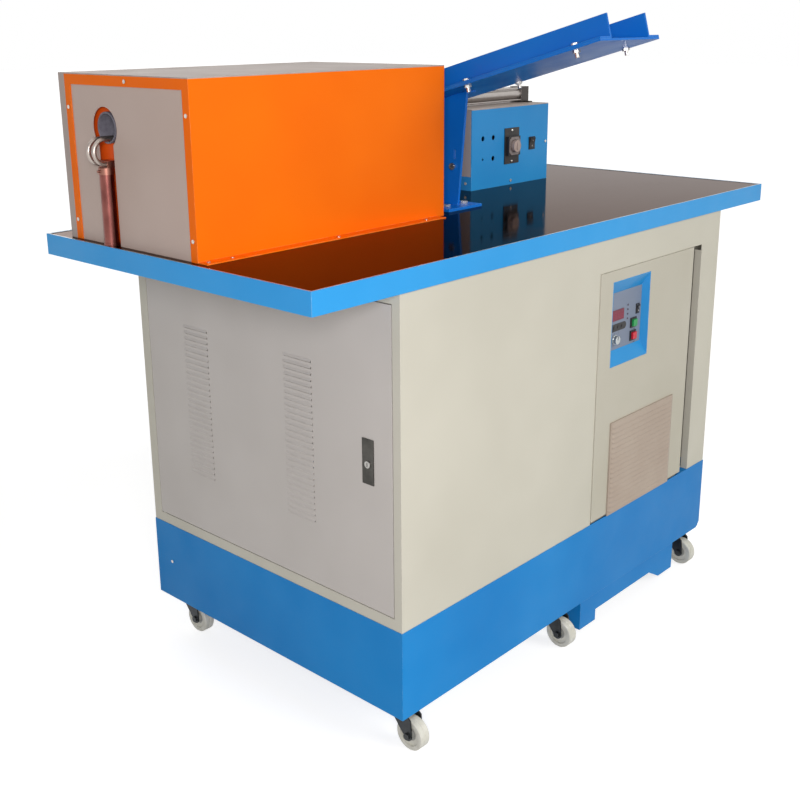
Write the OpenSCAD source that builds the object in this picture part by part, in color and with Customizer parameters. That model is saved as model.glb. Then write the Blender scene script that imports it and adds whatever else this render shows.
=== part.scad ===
// Induction heating machine: a furnace box, an inclined billet tray and a pneumatic feeder
// stand on a steel table, over a cabinet on casters with a power unit let into its front.
// Origin: on the floor, under the middle of the table. +Z up, -Y the operator's side, -X the discharge end.

/* [Table] */
// length of the table top
table_length = 1500; // [1490:10:1700]
// depth of the table top
table_depth = 742; // [735:1:790]
// height of the table top above the floor
table_height = 928; // [900:1:1000]
// height of the rim under the table's edge
rim_height = 40; // [34:1:60]
// thickness of the rim's folded sheet
rim_sheet = 2; // [1.5:0.5:3]
// thickness of the glossy deck plate
deck_sheet = 3; // [2:0.5:5]
// drop of the deck plate below the rim's top edge
deck_drop = 1; // [0.5:0.5:2]

/* [Cabinet] */
// overhang of the table top beyond each end of the skirt
end_overhang = 197; // [180:1:202]
// overhang of the table top beyond the skirt's front and back
side_overhang = 2; // [1:1:10]
// clearance under the skirt
ground_clearance = 88; // [82:1:100]
// height of the blue skirt
skirt_height = 178; // [160:1:200]
// thickness of the skirt's sheet
skirt_sheet = 3; // [2:0.5:4]
// thickness of the cabinet's sheet
cabinet_sheet = 2; // [1.5:0.5:3]
// how far the cabinet stands in from the skirt
cabinet_inset = 1; // [0.5:0.5:3]
// width of the skirt's foot flange, which carries the casters
foot_flange = 88; // [88:1:110]
// height of the louvred vent in the cabinet's right wall
vent_height = 220; // [150:10:300]

/* [Side door] */
// depth of the door's folded edge
door_fold = 18; // [14:1:24]
// gap around the door
door_gap = 2; // [1.5:0.5:4]
// width of the front stile beside the door
front_stile = 18; // [16:1:24]
// width of the rear stile beside the door
rear_stile = 24; // [20:1:30]
// height of the rail below the door
bottom_rail = 22; // [20:1:30]
// height of the rail above the door
top_rail = 20; // [18:1:26]
// distance between louvres
louvre_pitch = 12; // [9:0.5:12.5]
// length of a louvre
louvre_length = 73; // [50:1:90]
// height of a louvre's slot
louvre_slot = 4; // [2:0.5:5]
// diameter of the hinge pins
hinge_pin_d = 5; // [4:0.5:7]
// width of the lock's face plate
lock_width = 27; // [22:1:34]
// height of the lock's face plate
lock_height = 85; // [70:1:100]

/* [Casters] */
// diameter of a caster's wheel
wheel_d = 63; // [56:1:68]
// width of a caster's wheel
wheel_width = 24; // [20:1:28]
// distance from the swivel's axis to the axle
caster_trail = 24; // [18:1:24]
// side of a caster's square plate
caster_plate = 60; // [52:1:64]
// distance of the front swivels from the skirt's face
caster_inset = 42; // [34:1:46]
// distance of the end swivels from the skirt's end
caster_end = 48; // [40:1:54]
// diameter of the swivel's pin
swivel_pin_d = 10; // [8:1:12]
// diameter of the axle
axle_d = 8; // [6:1:10]
// radial play between a wheel and its axle, and a fork and its pin
running_play = 0.05; // [0.02:0.01:0.1]

/* [Power unit] */
// width of the power unit's face
unit_width = 382; // [340:2:384]
// depth of the power unit
unit_depth = 560; // [450:5:640]
// height of the cabinet's header above the opening
header_height = 69; // [60:1:77]
// width of the cabinet's post to the right of the opening
post_width = 80; // [78:1:100]
// open gap between the power unit's face and the post
unit_side_gap = 40; // [20:1:44]
// gap between the power unit's face and the opening's left and top edges
unit_gap = 0.5; // [0.5:0.5:4]
// gap under the power unit's face
unit_sill = 6; // [3:1:10]
// width of the louvred grill
grill_width = 261; // [220:1:262]
// share of the unit's face height that the louvred grill takes
grill_share = 0.395; // [0.33:0.005:0.4]
// how far the grill stands proud
grill_depth = 8; // [6:1:10]
// number of slats in the grill
grill_slats = 18; // [10:1:20]
// height of the plinth's feet
plinth_height = 76; // [66:1:80]
// width of a plinth foot
plinth_foot = 62; // [50:1:80]

/* [Control panel] */
// width of the recess in the power unit's face
recess_width = 145; // [140:1:160]
// height of the recess
recess_height = 181; // [176:1:200]
// depth of the recess
recess_depth = 15; // [12:1:18]
// width of the display's window
display_width = 52; // [44:1:58]
// height of the display's window
display_height = 23; // [18:1:26]
// diameter of the level knob
level_knob_d = 18; // [14:1:22]
// side of the push buttons' bezels
bezel_side = 22; // [20:1:24]
// travel of the push buttons
button_travel = 2.5; // [1.5:0.5:3]

/* [Furnace] */
// length of the furnace box
furnace_length = 634; // [580:2:636]
// depth of the furnace box's orange frame
furnace_depth = 366; // [340:2:380]
// height of the furnace box
furnace_height = 303; // [290:1:330]
// thickness of the furnace box's sheet
furnace_sheet = 2; // [1.5:0.5:3]
// width of the orange frame around the end panels
frame_band = 18; // [14:1:24]
// depth of the grey cover behind the frame
cover_depth = 19; // [12:1:24]
// width of the flange along the foot of the front panel
foot_lip = 25; // [18:1:28]
// height of the heating axis above the deck
axis_height = 210; // [200:1:220]
// diameter of the round part of the keyhole
keyhole_d = 74; // [70:1:84]
// width of the keyhole's slot
keyhole_slot = 46; // [40:1:50]
// bore of the refractory lining
lining_bore = 50; // [44:1:54]
// wall of the refractory lining
lining_wall = 9; // [6:1:10]
// number of turns of the coil
coil_turns = 24; // [12:1:26]
// width of the coil's copper bar
coil_bar = 12; // [8:1:14]
// diameter of the water-cooled guide rails
rail_d = 8; // [6:1:9]
// how far the rails' bend stands out of the box
rail_reach = 33; // [31:1:44]
// diameter of the brown riser
riser_d = 26; // [22:1:28]
// height of the brown riser
riser_height = 129; // [110:1:130]

/* [Feeder] */
// slope of the billet tray in degrees
tray_slope = 15.4; // [12:0.2:17]
// width of the tray's plate
tray_width = 204; // [190:2:210]
// length of the tray along its slope
tray_length = 590; // [540:5:600]
// height of the tray's side walls
tray_wall = 42; // [30:1:50]
// width of the tray angles' flanges
tray_leg = 38; // [30:1:42]
// thickness of the tray's plate and angles
tray_sheet = 4; // [3:0.5:5]
// thickness of the upright
upright_sheet = 6; // [5:1:10]
// inner width of the feed trough
trough_width = 42; // [36:1:44]
// stroke of the pneumatic cylinder
feed_stroke = 200; // [120:2:208]
// bore of the pneumatic cylinder
cylinder_bore = 25; // [20:1:26]
// side of the cylinder's square heads
cylinder_head = 36; // [34:1:40]
// width of the control box
box_width = 305; // [300:5:320]
// depth of the control box
box_depth = 190; // [170:5:200]
// height of the control box
box_height = 189; // [185:1:195]

/* [Hidden] */
$fn = 48;
// overrun of every cut
cut = 1;
// gap between sheets that lie beside each other
sheet_gap = 0.3;
// gap round a drilled hole's bolt
bolt_gap = 0.5;

// levels of the machine, from the floor up
skirt_top = ground_clearance + skirt_height;
rim_bottom = table_height - rim_height;
deck_top = table_height - deck_drop;
deck_bottom = deck_top - deck_sheet;
pan_sheet = 3;
pan_top = ground_clearance + skirt_sheet + pan_sheet;

// plan of the machine
skirt_x = table_length / 2 - end_overhang;
skirt_y = table_depth / 2 - side_overhang;
shell_x = skirt_x - cabinet_inset;
shell_y = skirt_y - cabinet_inset;
opening_width = unit_gap + unit_width + unit_side_gap;
opening_height = rim_bottom - header_height - skirt_top;
opening_x = shell_x - post_width - opening_width;

// the table's under-frame
ledge_width = 25;
ledge_sheet = 3;
rim_return = 40;
crossbar_width = 40;

// the skirt and the cabinet
skirt_flange = 30;
skirt_clip = 14;
shell_flange = 20;
jamb_fold = 17;
jamb_relief = 14;
panel_margin = 110;
panel_relief = 1.5;
gland_d = 28;
gland_length = 22;
barb_d = 16;
barb_length = 30;
barb_spacing = 60;
fittings_height = 160;

// the side door
door_y0 = -shell_y + front_stile + door_gap;
door_width = shell_y - rear_stile - door_gap - door_y0;
door_z0 = skirt_top + bottom_rail + door_gap;
door_top = rim_bottom - top_rail - door_gap;
door_height = door_top - door_z0;
louvre_hood = 3;
louvre_base = 125;
louvre_top_margin = 135;
louvre_count = floor((door_height - louvre_base - louvre_top_margin) / louvre_pitch) + 1;
louvre_bank_shares = [0.34, 0.772];
hinge_inset_x = 5;
hinge_inset_y = 6;
hinge_pin_depth = 10;
hinge_pin_x = -shell_x + hinge_inset_x;
hinge_pin_y = door_y0 + door_width - hinge_inset_y;
hinge_land = 9;
lock_proud = 2;
lock_inset = 57;
lock_z_share = 0.495;
lock_y = door_y0 + lock_inset;
lock_z = door_z0 + lock_z_share * door_height;
plug_d = 13;
plug_drop = 5;
plug_z = lock_z - plug_drop;
plug_proud = 2;
cam_reach = 11;
cam_length = lock_inset + door_gap + cam_reach;
cam_width = 16;
cam_sheet = 3;
cam_gap = 1;
key_slot_width = 2;
key_slot_length = 8;
key_slot_depth = 3;

// the casters, hung under the skirt's foot flange
caster_plinth_gap = 70;
caster_middle_x = opening_x + unit_gap - caster_plinth_gap;
caster_rear_inset = 56;
caster_xs = [-skirt_x + caster_end, caster_middle_x, skirt_x - caster_end];
caster_ys = [-skirt_y + caster_inset, skirt_y - caster_rear_inset];
axle_z = wheel_d / 2;
plate_sheet = 4;
race_d = 36;
race_height = 6;
fork_head_d = 42;
fork_head_height = 6;
fork_head_top = ground_clearance - plate_sheet - race_height;
fork_head_bottom = fork_head_top - fork_head_height;
fork_gap = 1.5;
fork_sheet = 3;
fork_foot_d = 20;
fork_neck = 30;
pin_nut_d = 17;
pin_nut_height = 5;
axle_head_d = 13;
axle_head_height = 4;
hub_d = 20;
hub_gap = 0.2;
web_width_share = 0.6;
tread_depth = 9;
tread_edge = 2;
groove_width = 3;
groove_depth = 1.5;

// the power unit
unit_x0 = opening_x + unit_gap;
unit_x1 = unit_x0 + unit_width;
unit_y0 = -skirt_y - cabinet_inset;
unit_back = unit_y0 + unit_depth;
unit_z0 = skirt_top + unit_sill;
unit_z1 = skirt_top + opening_height - unit_gap;
grill_height = grill_share * (unit_z1 - unit_z0);
unit_face_depth = 10;
unit_sheet = 2;
unit_body_inset = 2;
grill_x_share = 0.154;
grill_x0 = unit_x0 + grill_x_share * unit_width;
grill_foot = 2;
grill_z0 = skirt_top + grill_foot;
grill_frame = 5;
grill_back = 1.5;
plinth_side = 10;
plinth_setback = 10;
plinth_x0 = unit_x0 - plinth_side;
plinth_x1 = unit_x1 + plinth_side;
plinth_y0 = -skirt_y + plinth_setback;
plinth_sheet = 3;
plinth_depth_share = 0.95;
plinth_arch = 26;
plinth_slant = 45;
plinth_flange = 24;

// the control panel
recess_x_share = 0.127;
recess_top_margin = 26;
recess_x0 = unit_x0 + recess_x_share * unit_width;
recess_x1 = recess_x0 + recess_width;
recess_z1 = unit_z1 - recess_top_margin;
recess_z0 = recess_z1 - recess_height;
recess_side = 7;
recess_slope = 28;
recess_wall = 2;
panel_sheet = 2;
panel_y = unit_y0 + recess_depth;
panel_x0 = recess_x0 + recess_side;
panel_x1 = recess_x1 - recess_side;
panel_z0 = recess_z0 + recess_slope;
panel_z1 = recess_z1 - recess_slope;
panel_w = panel_x1 - panel_x0;
panel_h = panel_z1 - panel_z0;
display_x_share = 0.26;
display_z_share = 0.60;
display_proud = 1.5;
keypad_x_share = 0.31;
keypad_z_share = 0.385;
keypad_width = 62;
keypad_height = 16;
keypad_proud = 1;
keypad_key_d = 7;
knob_x_share = 0.22;
knob_z_share = 0.18;
knob_height = 9;
knob_skirt = 1.5;
knob_gap = 0.3;
knob_shaft_d = 6;
knob_pointer = 1.5;
led_x_share = 0.585;
led_z_shares = [0.48, 0.56, 0.64, 0.72];
led_d = 4;
led_proud = 1.2;
button_x_share = 0.765;
start_z_share = 0.375;
stop_z_share = 0.145;
bezel_proud = 3;
button_cap = 15;
button_proud = 7;
button_play = 0.4;
rocker_x_share = 0.885;
rocker_z_share = 0.60;
rocker_width = 12;
rocker_height = 22;
rocker_wall = 1.5;
rocker_proud = 2;
rocker_tilt = 8;
rocker_play = 0.4;
rocker_root = 1.2;
trunnion_d = 1;
trunnion_depth = 0.6;

// the furnace box
furnace_inset = 18;
furnace_margin = 62;
axis_y_share = 0.683;
furnace_x0 = -table_length / 2 + furnace_inset;
furnace_x1 = furnace_x0 + furnace_length;
furnace_y0 = table_depth / 2 - furnace_margin - cover_depth - furnace_depth;
furnace_y1 = furnace_y0 + furnace_depth;
furnace_back = furnace_y1 + cover_depth;
furnace_top = deck_top + furnace_height;
furnace_case_top = furnace_top - furnace_sheet;
foot_lip_end = 22;
axis_y = furnace_y0 + axis_y_share * furnace_depth;
axis_z = deck_top + axis_height;
mount_board = 10;
mount_setback = 14;
mount_x0 = furnace_x0 + mount_setback;
mount_x1 = furnace_x1 - mount_setback;
lining_d = lining_bore + 2 * lining_wall;
nose_wall = 3;
nose_d = lining_bore + 2 * nose_wall;
lining_proud = 8;
lining_x0 = mount_x0 - lining_proud;
lining_x1 = mount_x1 + lining_proud;
coil_gap = 2;
coil_r0 = lining_d / 2 + coil_gap;
coil_r1 = coil_r0 + coil_bar;
coil_margin = 30;
coil_x0 = mount_x0 + coil_margin;
coil_x1 = mount_x1 - coil_margin;
coil_pitch = (coil_x1 - coil_x0 - coil_bar) / (coil_turns - 1);
coil_link = 1;
coil_stud = 5;
coil_stud_width = 8;
coil_turns_per_stud = 6;
side_board_height = 70;
side_board_y = coil_r1 + coil_stud;
lead_drop = 24;
lead_bar = 12;
lead_spread = 14;
lead_inset = 110;
lead_x = -shell_x + lead_inset;
lead_space = 60;
lead_tail = 28;
lead_bottom = rim_bottom - lead_tail;
lead_hole_margin = 8;
rail_angle = 25;
rail_r = lining_bore / 2 - rail_d / 2 - sheet_gap;
rail_dy = rail_r * sin(rail_angle);
rail_z = axis_z - rail_r * cos(rail_angle);
riser_foot_d = 28;
riser_rim_gap = 0.5;
riser_x = rim_sheet - table_length / 2 + riser_rim_gap + riser_foot_d / 2;
riser_foot_height = 6;
collar_d = 28;
collar_height = 12;
manifold_height = 12;
manifold_y = 27;
clamp_screw_d = 5;
clamp_screw_length = 4;
// whole millimetres between the rails' upper and lower legs, near the manifold's middle
rail_drop = floor(rail_z - (deck_top + riser_height + collar_height + manifold_height / 2));
rail_low_z = rail_z - rail_drop;
rail_bend = rail_drop / 2;
bend_x = furnace_x0 - rail_reach + rail_bend + rail_d / 2;
manifold_x1 = riser_x + collar_d / 2;

// the heating circuit in the cabinet
transformer_x = 200;
transformer_y = 210;
transformer_z = 200;
transformer_inset = 60;
transformer_x0 = -shell_x + transformer_inset;
transformer_y0 = axis_y - transformer_y / 2;
core_leg = 46;
winding_proud = 14;
transformer_foot = 12;
bus_width = 40;
bus_sheet = 6;
capacitor_x = 90;
capacitor_y = 300;
capacitor_z = 220;
capacitor_count = 2;
capacitor_space = 30;
capacitor_shift = 50;
capacitor_gap = 4.978;
capacitor_x0 = transformer_x0 + capacitor_shift;
capacitor_y0 = transformer_y0 - transformer_foot - capacitor_gap - capacitor_y;
stud_d = 14;
stud_height = 30;
stud_inset = 50;

// the feeder
trough_sheet = 3;
trough_depth = 18;
trough_lip = 5;
trough_back = 46;
trough_overhang = 2;
trough_bottom = axis_z - trough_depth;
tray_gap = 10;
tray_clear = 12;
tray_step = 1;
tray_x0 = furnace_x1 + tray_gap;
tray_x1 = tray_x0 + tray_width;
tray_rear_y = axis_y - trough_width / 2 - trough_sheet - tray_clear;
tray_rear_z = trough_bottom + trough_lip + tray_step + tray_sheet / cos(tray_slope);
trough_x0 = furnace_x1 + trough_overhang;
trough_x1 = tray_x1 + trough_overhang;
upright_stand = 95;
upright_foot_drop = 42;
upright_lean = 23;
upright_tail = 30;
upright_x = furnace_x1 + upright_stand;
upright_foot_y = furnace_y0 + upright_foot_drop;
upright_back = axis_y + upright_tail;
base_plate_left = 57;
base_plate_right = 53;
base_plate_front = 25;
base_plate_x0 = upright_x - base_plate_left;
base_plate_x1 = upright_x + base_plate_right;
base_plate_y0 = upright_foot_y - base_plate_front;
base_plate_sheet = 6;
tray_deck = 2 * tray_sheet;
wall_bolt_d = 8;
bolt_head_d = 15;
bolt_head_height = 5;
bolt_tail = 14;
bolt_shares = [0.11, 0.56];
upright_flange = 30;
slot_width = 5;
slot_height = 20;
slot_inset = 6;
slot_rise = 104;
slot_y = upright_foot_y + slot_inset;
slot_z = deck_top + slot_rise;
upright_bolt_inset = 13;
upright_bolt_rise = 88;
upright_bolt_y = upright_foot_y + upright_bolt_inset;
upright_bolt_z = deck_top + upright_bolt_rise;

// the control box and the pneumatic cylinder
box_stand = 89;
box_front = 76;
box_x0 = trough_x1 + box_stand;
box_x1 = box_x0 + box_width;
box_y0 = axis_y - box_front;
box_y1 = box_y0 + box_depth;
box_top = deck_top + box_height;
box_sheet = 2;
box_lip = 33;
lamp_hole_d = 12;
small_hole_d = 6;
hole_x_shares = [0.14, 0.27];
hole_z_shares = [0.63, 0.37];
timer_x_share = 0.505;
timer_z_share = 0.5;
timer_width = 57;
timer_height = 86;
timer_plate = 2;
timer_side = 46;
timer_proud = 10;
timer_depth = 60;
timer_knob_d = 28;
timer_knob_height = 9;
timer_shaft_d = 6;
feed_rocker_x_share = 0.777;
feed_rocker_z_share = 0.5;
feed_rocker_width = 24;
feed_rocker_height = 31;
cylinder_foot = axis_z - cylinder_head / 2 - box_top;
cylinder_wall = 2.5;
cylinder_margin = 6;
head_length = 20;
cap_length = 30;
piston_length = 12;
piston_rest = 6;
bore_length = feed_stroke + piston_length + 2 * piston_rest;
cylinder_x1 = box_x1 - cylinder_margin;
cylinder_x0 = cylinder_x1 - cap_length - bore_length - head_length;
foot_length = 14;
foot_width = 60;
rod_d = 10;
pusher_d = 26;
pusher_length = 12;
pusher_inset = 24;
pusher_x = trough_x1 - pusher_inset;
tie_rod_d = 4;
port_d = 9;
port_length = 8;

// screws in the sheets
screw_d = 7;
screw_height = 1.6;
screw_edge = 10;
skirt_screw_inset = 54;
end_screw_shares = [0.09, 0.77];
lip_screw_shares = [0.02, 0.10, 0.50, 0.89];

// colours as the photograph shows them
BLUE = [0.20, 0.55, 0.82];
DEEP_BLUE = [0.06, 0.33, 0.68];
BEIGE = [0.76, 0.74, 0.68];
GREY = [0.66, 0.61, 0.57];
ORANGE = [0.93, 0.43, 0.12];
STEEL = [0.75, 0.75, 0.74];
BLACK = [0.10, 0.10, 0.11];
NYLON = [0.80, 0.80, 0.74];
COPPER = [0.80, 0.47, 0.30];
BRASS = [0.78, 0.62, 0.30];

// a block between two corners
module block(a, b) {
  translate([min(a[0], b[0]), min(a[1], b[1]), min(a[2], b[2])])
    cube([abs(b[0] - a[0]), abs(b[1] - a[1]), abs(b[2] - a[2])]);
}

// round bars along the three axes, from a start point
module rod_x(d, length, at) {
  translate(at) rotate([0, 90, 0]) cylinder(d = d, h = length);
}

module rod_y(d, length, at) {
  translate(at) rotate([-90, 0, 0]) cylinder(d = d, h = length);
}

module rod_z(d, length, at) {
  translate(at) cylinder(d = d, h = length);
}

// an outline in y and z, drawn out along +X from x
module along_x(x, length) {
  translate([x, 0, 0]) rotate([90, 0, 90]) linear_extrude(length) children();
}

// an outline in x and z, drawn out along +Y from y
module along_y(y, length) {
  translate([0, y + length, 0]) rotate([90, 0, 0]) linear_extrude(length) children();
}

// a ring of sheet, open above and below, with its outer corner points
module sheet_ring(x, y, z0, z1, wall) {
  difference() {
    block([-x, -y, z0], [x, y, z1]);
    block([wall - x, wall - y, z0 - cut], [x - wall, y - wall, z1 + cut]);
  }
}

// the upper flange stops at the power unit, and the right end's lower corners are clipped
module base_skirt() {
  color(BLUE) difference() {
    union() {
      sheet_ring(skirt_x, skirt_y, ground_clearance, skirt_top, skirt_sheet);
      sheet_ring(skirt_x, skirt_y, ground_clearance, ground_clearance + skirt_sheet, foot_flange);
      sheet_ring(skirt_x, skirt_y, skirt_top - skirt_sheet, skirt_top, skirt_flange);
    }
    block([opening_x, -skirt_y + skirt_sheet, skirt_top - skirt_sheet - cut],
          [unit_x1 + unit_gap, -skirt_y + skirt_flange + cut, skirt_top + cut]);
    for (y = [-skirt_y - cut, skirt_y - skirt_sheet])
      along_y(y, skirt_sheet + cut)
        polygon([[skirt_x - skirt_clip, ground_clearance - cut], [skirt_x + cut, ground_clearance - cut],
                 [skirt_x + cut, ground_clearance + skirt_clip]]);
  }
}

module floor_pan() {
  pan_x = skirt_x - skirt_sheet - sheet_gap;
  pan_y = skirt_y - skirt_sheet - sheet_gap;
  color(STEEL)
    block([-pan_x, -pan_y, ground_clearance + skirt_sheet], [pan_x, pan_y, pan_top]);
}

module unit_plinth() {
  z0 = ground_clearance - plinth_height;
  y1 = plinth_y0 + plinth_depth_share * unit_depth;
  inner_x1 = plinth_x1 - plinth_foot;
  color(BLUE) difference() {
    block([plinth_x0, plinth_y0, z0], [plinth_x1, y1, ground_clearance]);
    block([plinth_x0 + plinth_sheet, plinth_y0 + plinth_sheet, z0 - cut],
          [plinth_x1 - plinth_sheet, y1 - plinth_sheet, ground_clearance - plinth_sheet]);
    block([plinth_x0 + plinth_flange, plinth_y0 + plinth_flange, z0 - cut],
          [plinth_x1 - plinth_flange, y1 - plinth_flange, ground_clearance + cut]);
    along_y(plinth_y0 - cut, y1 - plinth_y0 + 2 * cut)
      polygon([[plinth_x0 + plinth_foot, z0 - cut], [plinth_x0 + plinth_foot, z0 + plinth_arch],
               [inner_x1 - plinth_slant, z0 + plinth_arch], [inner_x1, z0], [inner_x1, z0 - cut]]);
  }
}

// what a caster fixes to the machine: plate, race and swivel pin
module caster_plate_at(x, y) {
  plate_z = ground_clearance - plate_sheet;
  translate([x, y, 0]) {
    block([-caster_plate / 2, -caster_plate / 2, plate_z],
          [caster_plate / 2, caster_plate / 2, ground_clearance]);
    rod_z(race_d, race_height, [0, 0, fork_head_top]);
    rod_z(swivel_pin_d, fork_head_height + pin_nut_height, [0, 0, fork_head_bottom - pin_nut_height]);
    rod_z(pin_nut_d, pin_nut_height - sheet_gap, [0, 0, fork_head_bottom - pin_nut_height]);
  }
}

module caster_plates() {
  color(STEEL) for (x = caster_xs, y = caster_ys) caster_plate_at(x, y);
}

// one side of the fork, drawn in y and z about the swivel's axis
module fork_leg_outline() {
  translate([-caster_trail, axle_z]) circle(d = fork_foot_d);
  polygon([[-fork_neck / 2, fork_head_top], [fork_neck / 2, fork_head_top],
           [fork_neck / 2, fork_head_bottom - fork_head_height],
           [-caster_trail + fork_foot_d / 2, axle_z], [-caster_trail - fork_foot_d / 2, axle_z],
           [-caster_trail - fork_foot_d / 2 + fork_sheet, fork_head_bottom - fork_head_height]]);
}

module caster_fork(x, y) {
  leg_x = wheel_width / 2 + fork_gap;
  color(BLACK) translate([x, y, 0]) {
    difference() {
      union() {
        rod_z(fork_head_d, fork_head_height, [0, 0, fork_head_bottom]);
        for (side = [0, 1]) mirror([side, 0, 0]) along_x(leg_x, fork_sheet) fork_leg_outline();
      }
      rod_z(swivel_pin_d + 2 * running_play, fork_head_height + 2 * cut, [0, 0, fork_head_bottom - cut]);
    }
    rod_x(axle_d, 2 * leg_x + fork_sheet, [-leg_x - fork_sheet / 2, -caster_trail, axle_z]);
    for (side = [0, 1]) mirror([side, 0, 0])
      rod_x(axle_head_d, axle_head_height, [leg_x + fork_sheet, -caster_trail, axle_z]);
  }
}

// a wheel about its own axle, which lies along X
module caster_wheel(x, y) {
  half = wheel_width / 2;
  hub_half = half + fork_gap - hub_gap;
  web_half = web_width_share * half;
  tread_r = wheel_d / 2 - tread_depth;
  color(NYLON) translate([x, y - caster_trail, axle_z]) rotate([0, 90, 0]) rotate_extrude()
    polygon([[axle_d / 2 + running_play, -hub_half], [hub_d / 2, -hub_half], [hub_d / 2, -web_half],
             [tread_r, -web_half], [tread_r, -half], [wheel_d / 2 - tread_edge, -half],
             [wheel_d / 2, tread_edge - half], [wheel_d / 2, -groove_width / 2],
             [wheel_d / 2 - groove_depth, 0], [wheel_d / 2, groove_width / 2],
             [wheel_d / 2, half - tread_edge], [wheel_d / 2 - tread_edge, half], [tread_r, half],
             [tread_r, web_half], [hub_d / 2, web_half], [hub_d / 2, hub_half],
             [axle_d / 2 + running_play, hub_half]]);
}

// the front wall's opening for the power unit, with its folded jambs
module cabinet_opening() {
  block([opening_x, -shell_y - cut, skirt_top - cut],
        [opening_x + opening_width, -shell_y + cabinet_sheet + cut, skirt_top + opening_height]);
}

module cabinet_jambs() {
  x1 = opening_x + opening_width;
  z1 = skirt_top + opening_height;
  block([opening_x - cabinet_sheet, -shell_y, skirt_top], [opening_x, -shell_y + jamb_fold, z1]);
  block([x1, -shell_y, skirt_top], [x1 + cabinet_sheet, -shell_y + jamb_fold, z1 - jamb_relief]);
  block([opening_x - cabinet_sheet, -shell_y, z1], [x1, -shell_y + jamb_fold, z1 + cabinet_sheet]);
}

// the left wall is a frame of square section around the side door
module door_frame() {
  y1 = door_y0 + door_width + door_gap;
  difference() {
    block([-shell_x, -shell_y, skirt_top], [-shell_x + door_fold, shell_y, rim_bottom]);
    block([-shell_x - cut, door_y0 - door_gap, door_z0 - door_gap],
          [-shell_x + door_fold + cut, y1, door_top + door_gap]);
    for (z = [door_z0 - door_gap - hinge_pin_depth, door_top + door_gap - cut])
      rod_z(hinge_pin_d, hinge_pin_depth + cut, [hinge_pin_x, hinge_pin_y, z]);
  }
}

module vent_slots() {
  rows = floor(vent_height / louvre_pitch);
  for (i = [0:rows - 1])
    block([shell_x - cabinet_sheet - cut, -louvre_length, skirt_top + louvre_base + i * louvre_pitch],
          [shell_x + cut, louvre_length, skirt_top + louvre_base + i * louvre_pitch + louvre_slot]);
}

module cabinet_shell() {
  color(BEIGE) {
    difference() {
      sheet_ring(shell_x, shell_y, skirt_top, rim_bottom, cabinet_sheet);
      cabinet_opening();
      vent_slots();
      block([-shell_x - cut, -shell_y + cabinet_sheet, skirt_top - cut],
            [-shell_x + cabinet_sheet + cut, shell_y - cabinet_sheet, rim_bottom + cut]);
    }
    cabinet_jambs();
    door_frame();
    sheet_ring(shell_x, shell_y, rim_bottom - cabinet_sheet, rim_bottom, shell_flange);
    difference() {
      sheet_ring(shell_x, shell_y, skirt_top, skirt_top + cabinet_sheet, shell_flange);
      block([opening_x, -shell_y - cut, skirt_top - cut],
            [opening_x + opening_width, -shell_y + shell_flange + cut, skirt_top + cabinet_sheet + cut]);
    }
    block([-shell_x + panel_margin, shell_y, skirt_top + panel_margin],
          [shell_x - panel_margin, shell_y + panel_relief, rim_bottom - panel_margin]);
  }
}

// one louvre: a slot under a sloping hood, centred on y
module louvre_slot_at(y, z) {
  block([-shell_x - cut, y - louvre_length / 2, z],
        [-shell_x + cabinet_sheet + cut, y + louvre_length / 2, z + louvre_slot]);
}

module louvre_hood_at(y, z) {
  translate([-shell_x, y + louvre_length / 2, z]) rotate([90, 0, 0]) linear_extrude(louvre_length)
    polygon([[0, louvre_slot + louvre_hood], [-louvre_hood, louvre_slot / 2],
             [-louvre_hood + cabinet_sheet / 2, louvre_slot / 2], [0, louvre_slot]]);
}

module side_door() {
  x1 = -shell_x + door_fold;
  y1 = door_y0 + door_width;
  color(BEIGE) {
    difference() {
      block([-shell_x, door_y0, door_z0], [x1, y1, door_top]);
      block([-shell_x + cabinet_sheet, door_y0 + cabinet_sheet, door_z0 + cabinet_sheet],
            [x1 + cut, y1 - cabinet_sheet, door_top - cabinet_sheet]);
      for (z = [door_z0 - cut, door_top - hinge_land])
        rod_z(hinge_pin_d + 2 * running_play, hinge_land + cut, [hinge_pin_x, hinge_pin_y, z]);
      for (share = louvre_bank_shares, i = [0:louvre_count - 1])
        louvre_slot_at(door_y0 + share * door_width, door_z0 + louvre_base + i * louvre_pitch);
      block([-shell_x - cut, lock_y - lock_width / 2 + lock_proud, lock_z - lock_height / 2 + lock_proud],
            [-shell_x + cabinet_sheet + cut, lock_y + lock_width / 2 - lock_proud,
             lock_z + lock_height / 2 - lock_proud]);
    }
    for (share = louvre_bank_shares, i = [0:louvre_count - 1])
      louvre_hood_at(door_y0 + share * door_width, door_z0 + louvre_base + i * louvre_pitch);
    door_pivot_blocks();
  }
}

// blocks in the door's corners, bored for the hinge pins
module door_pivot_blocks() {
  block_x1 = hinge_pin_x + hinge_pin_d;
  for (z = [door_z0 + cabinet_sheet, door_top - hinge_land])
    difference() {
      block([-shell_x + cabinet_sheet, hinge_pin_y - hinge_land, z],
            [block_x1, door_y0 + door_width - cabinet_sheet, z + hinge_land - cabinet_sheet]);
      rod_z(hinge_pin_d + 2 * running_play, hinge_land + 2 * cut, [hinge_pin_x, hinge_pin_y, z - cut]);
    }
}

module hinge_pins() {
  washer_d = hinge_pin_d + 2 * door_gap;
  length = hinge_pin_depth + door_gap + hinge_land - cabinet_sheet;
  color(STEEL) {
    rod_z(hinge_pin_d, length, [hinge_pin_x, hinge_pin_y, door_z0 - door_gap - hinge_pin_depth]);
    rod_z(washer_d, door_gap, [hinge_pin_x, hinge_pin_y, door_z0 - door_gap]);
    rod_z(hinge_pin_d, length, [hinge_pin_x, hinge_pin_y, door_top + door_gap + hinge_pin_depth - length]);
  }
}

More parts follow.
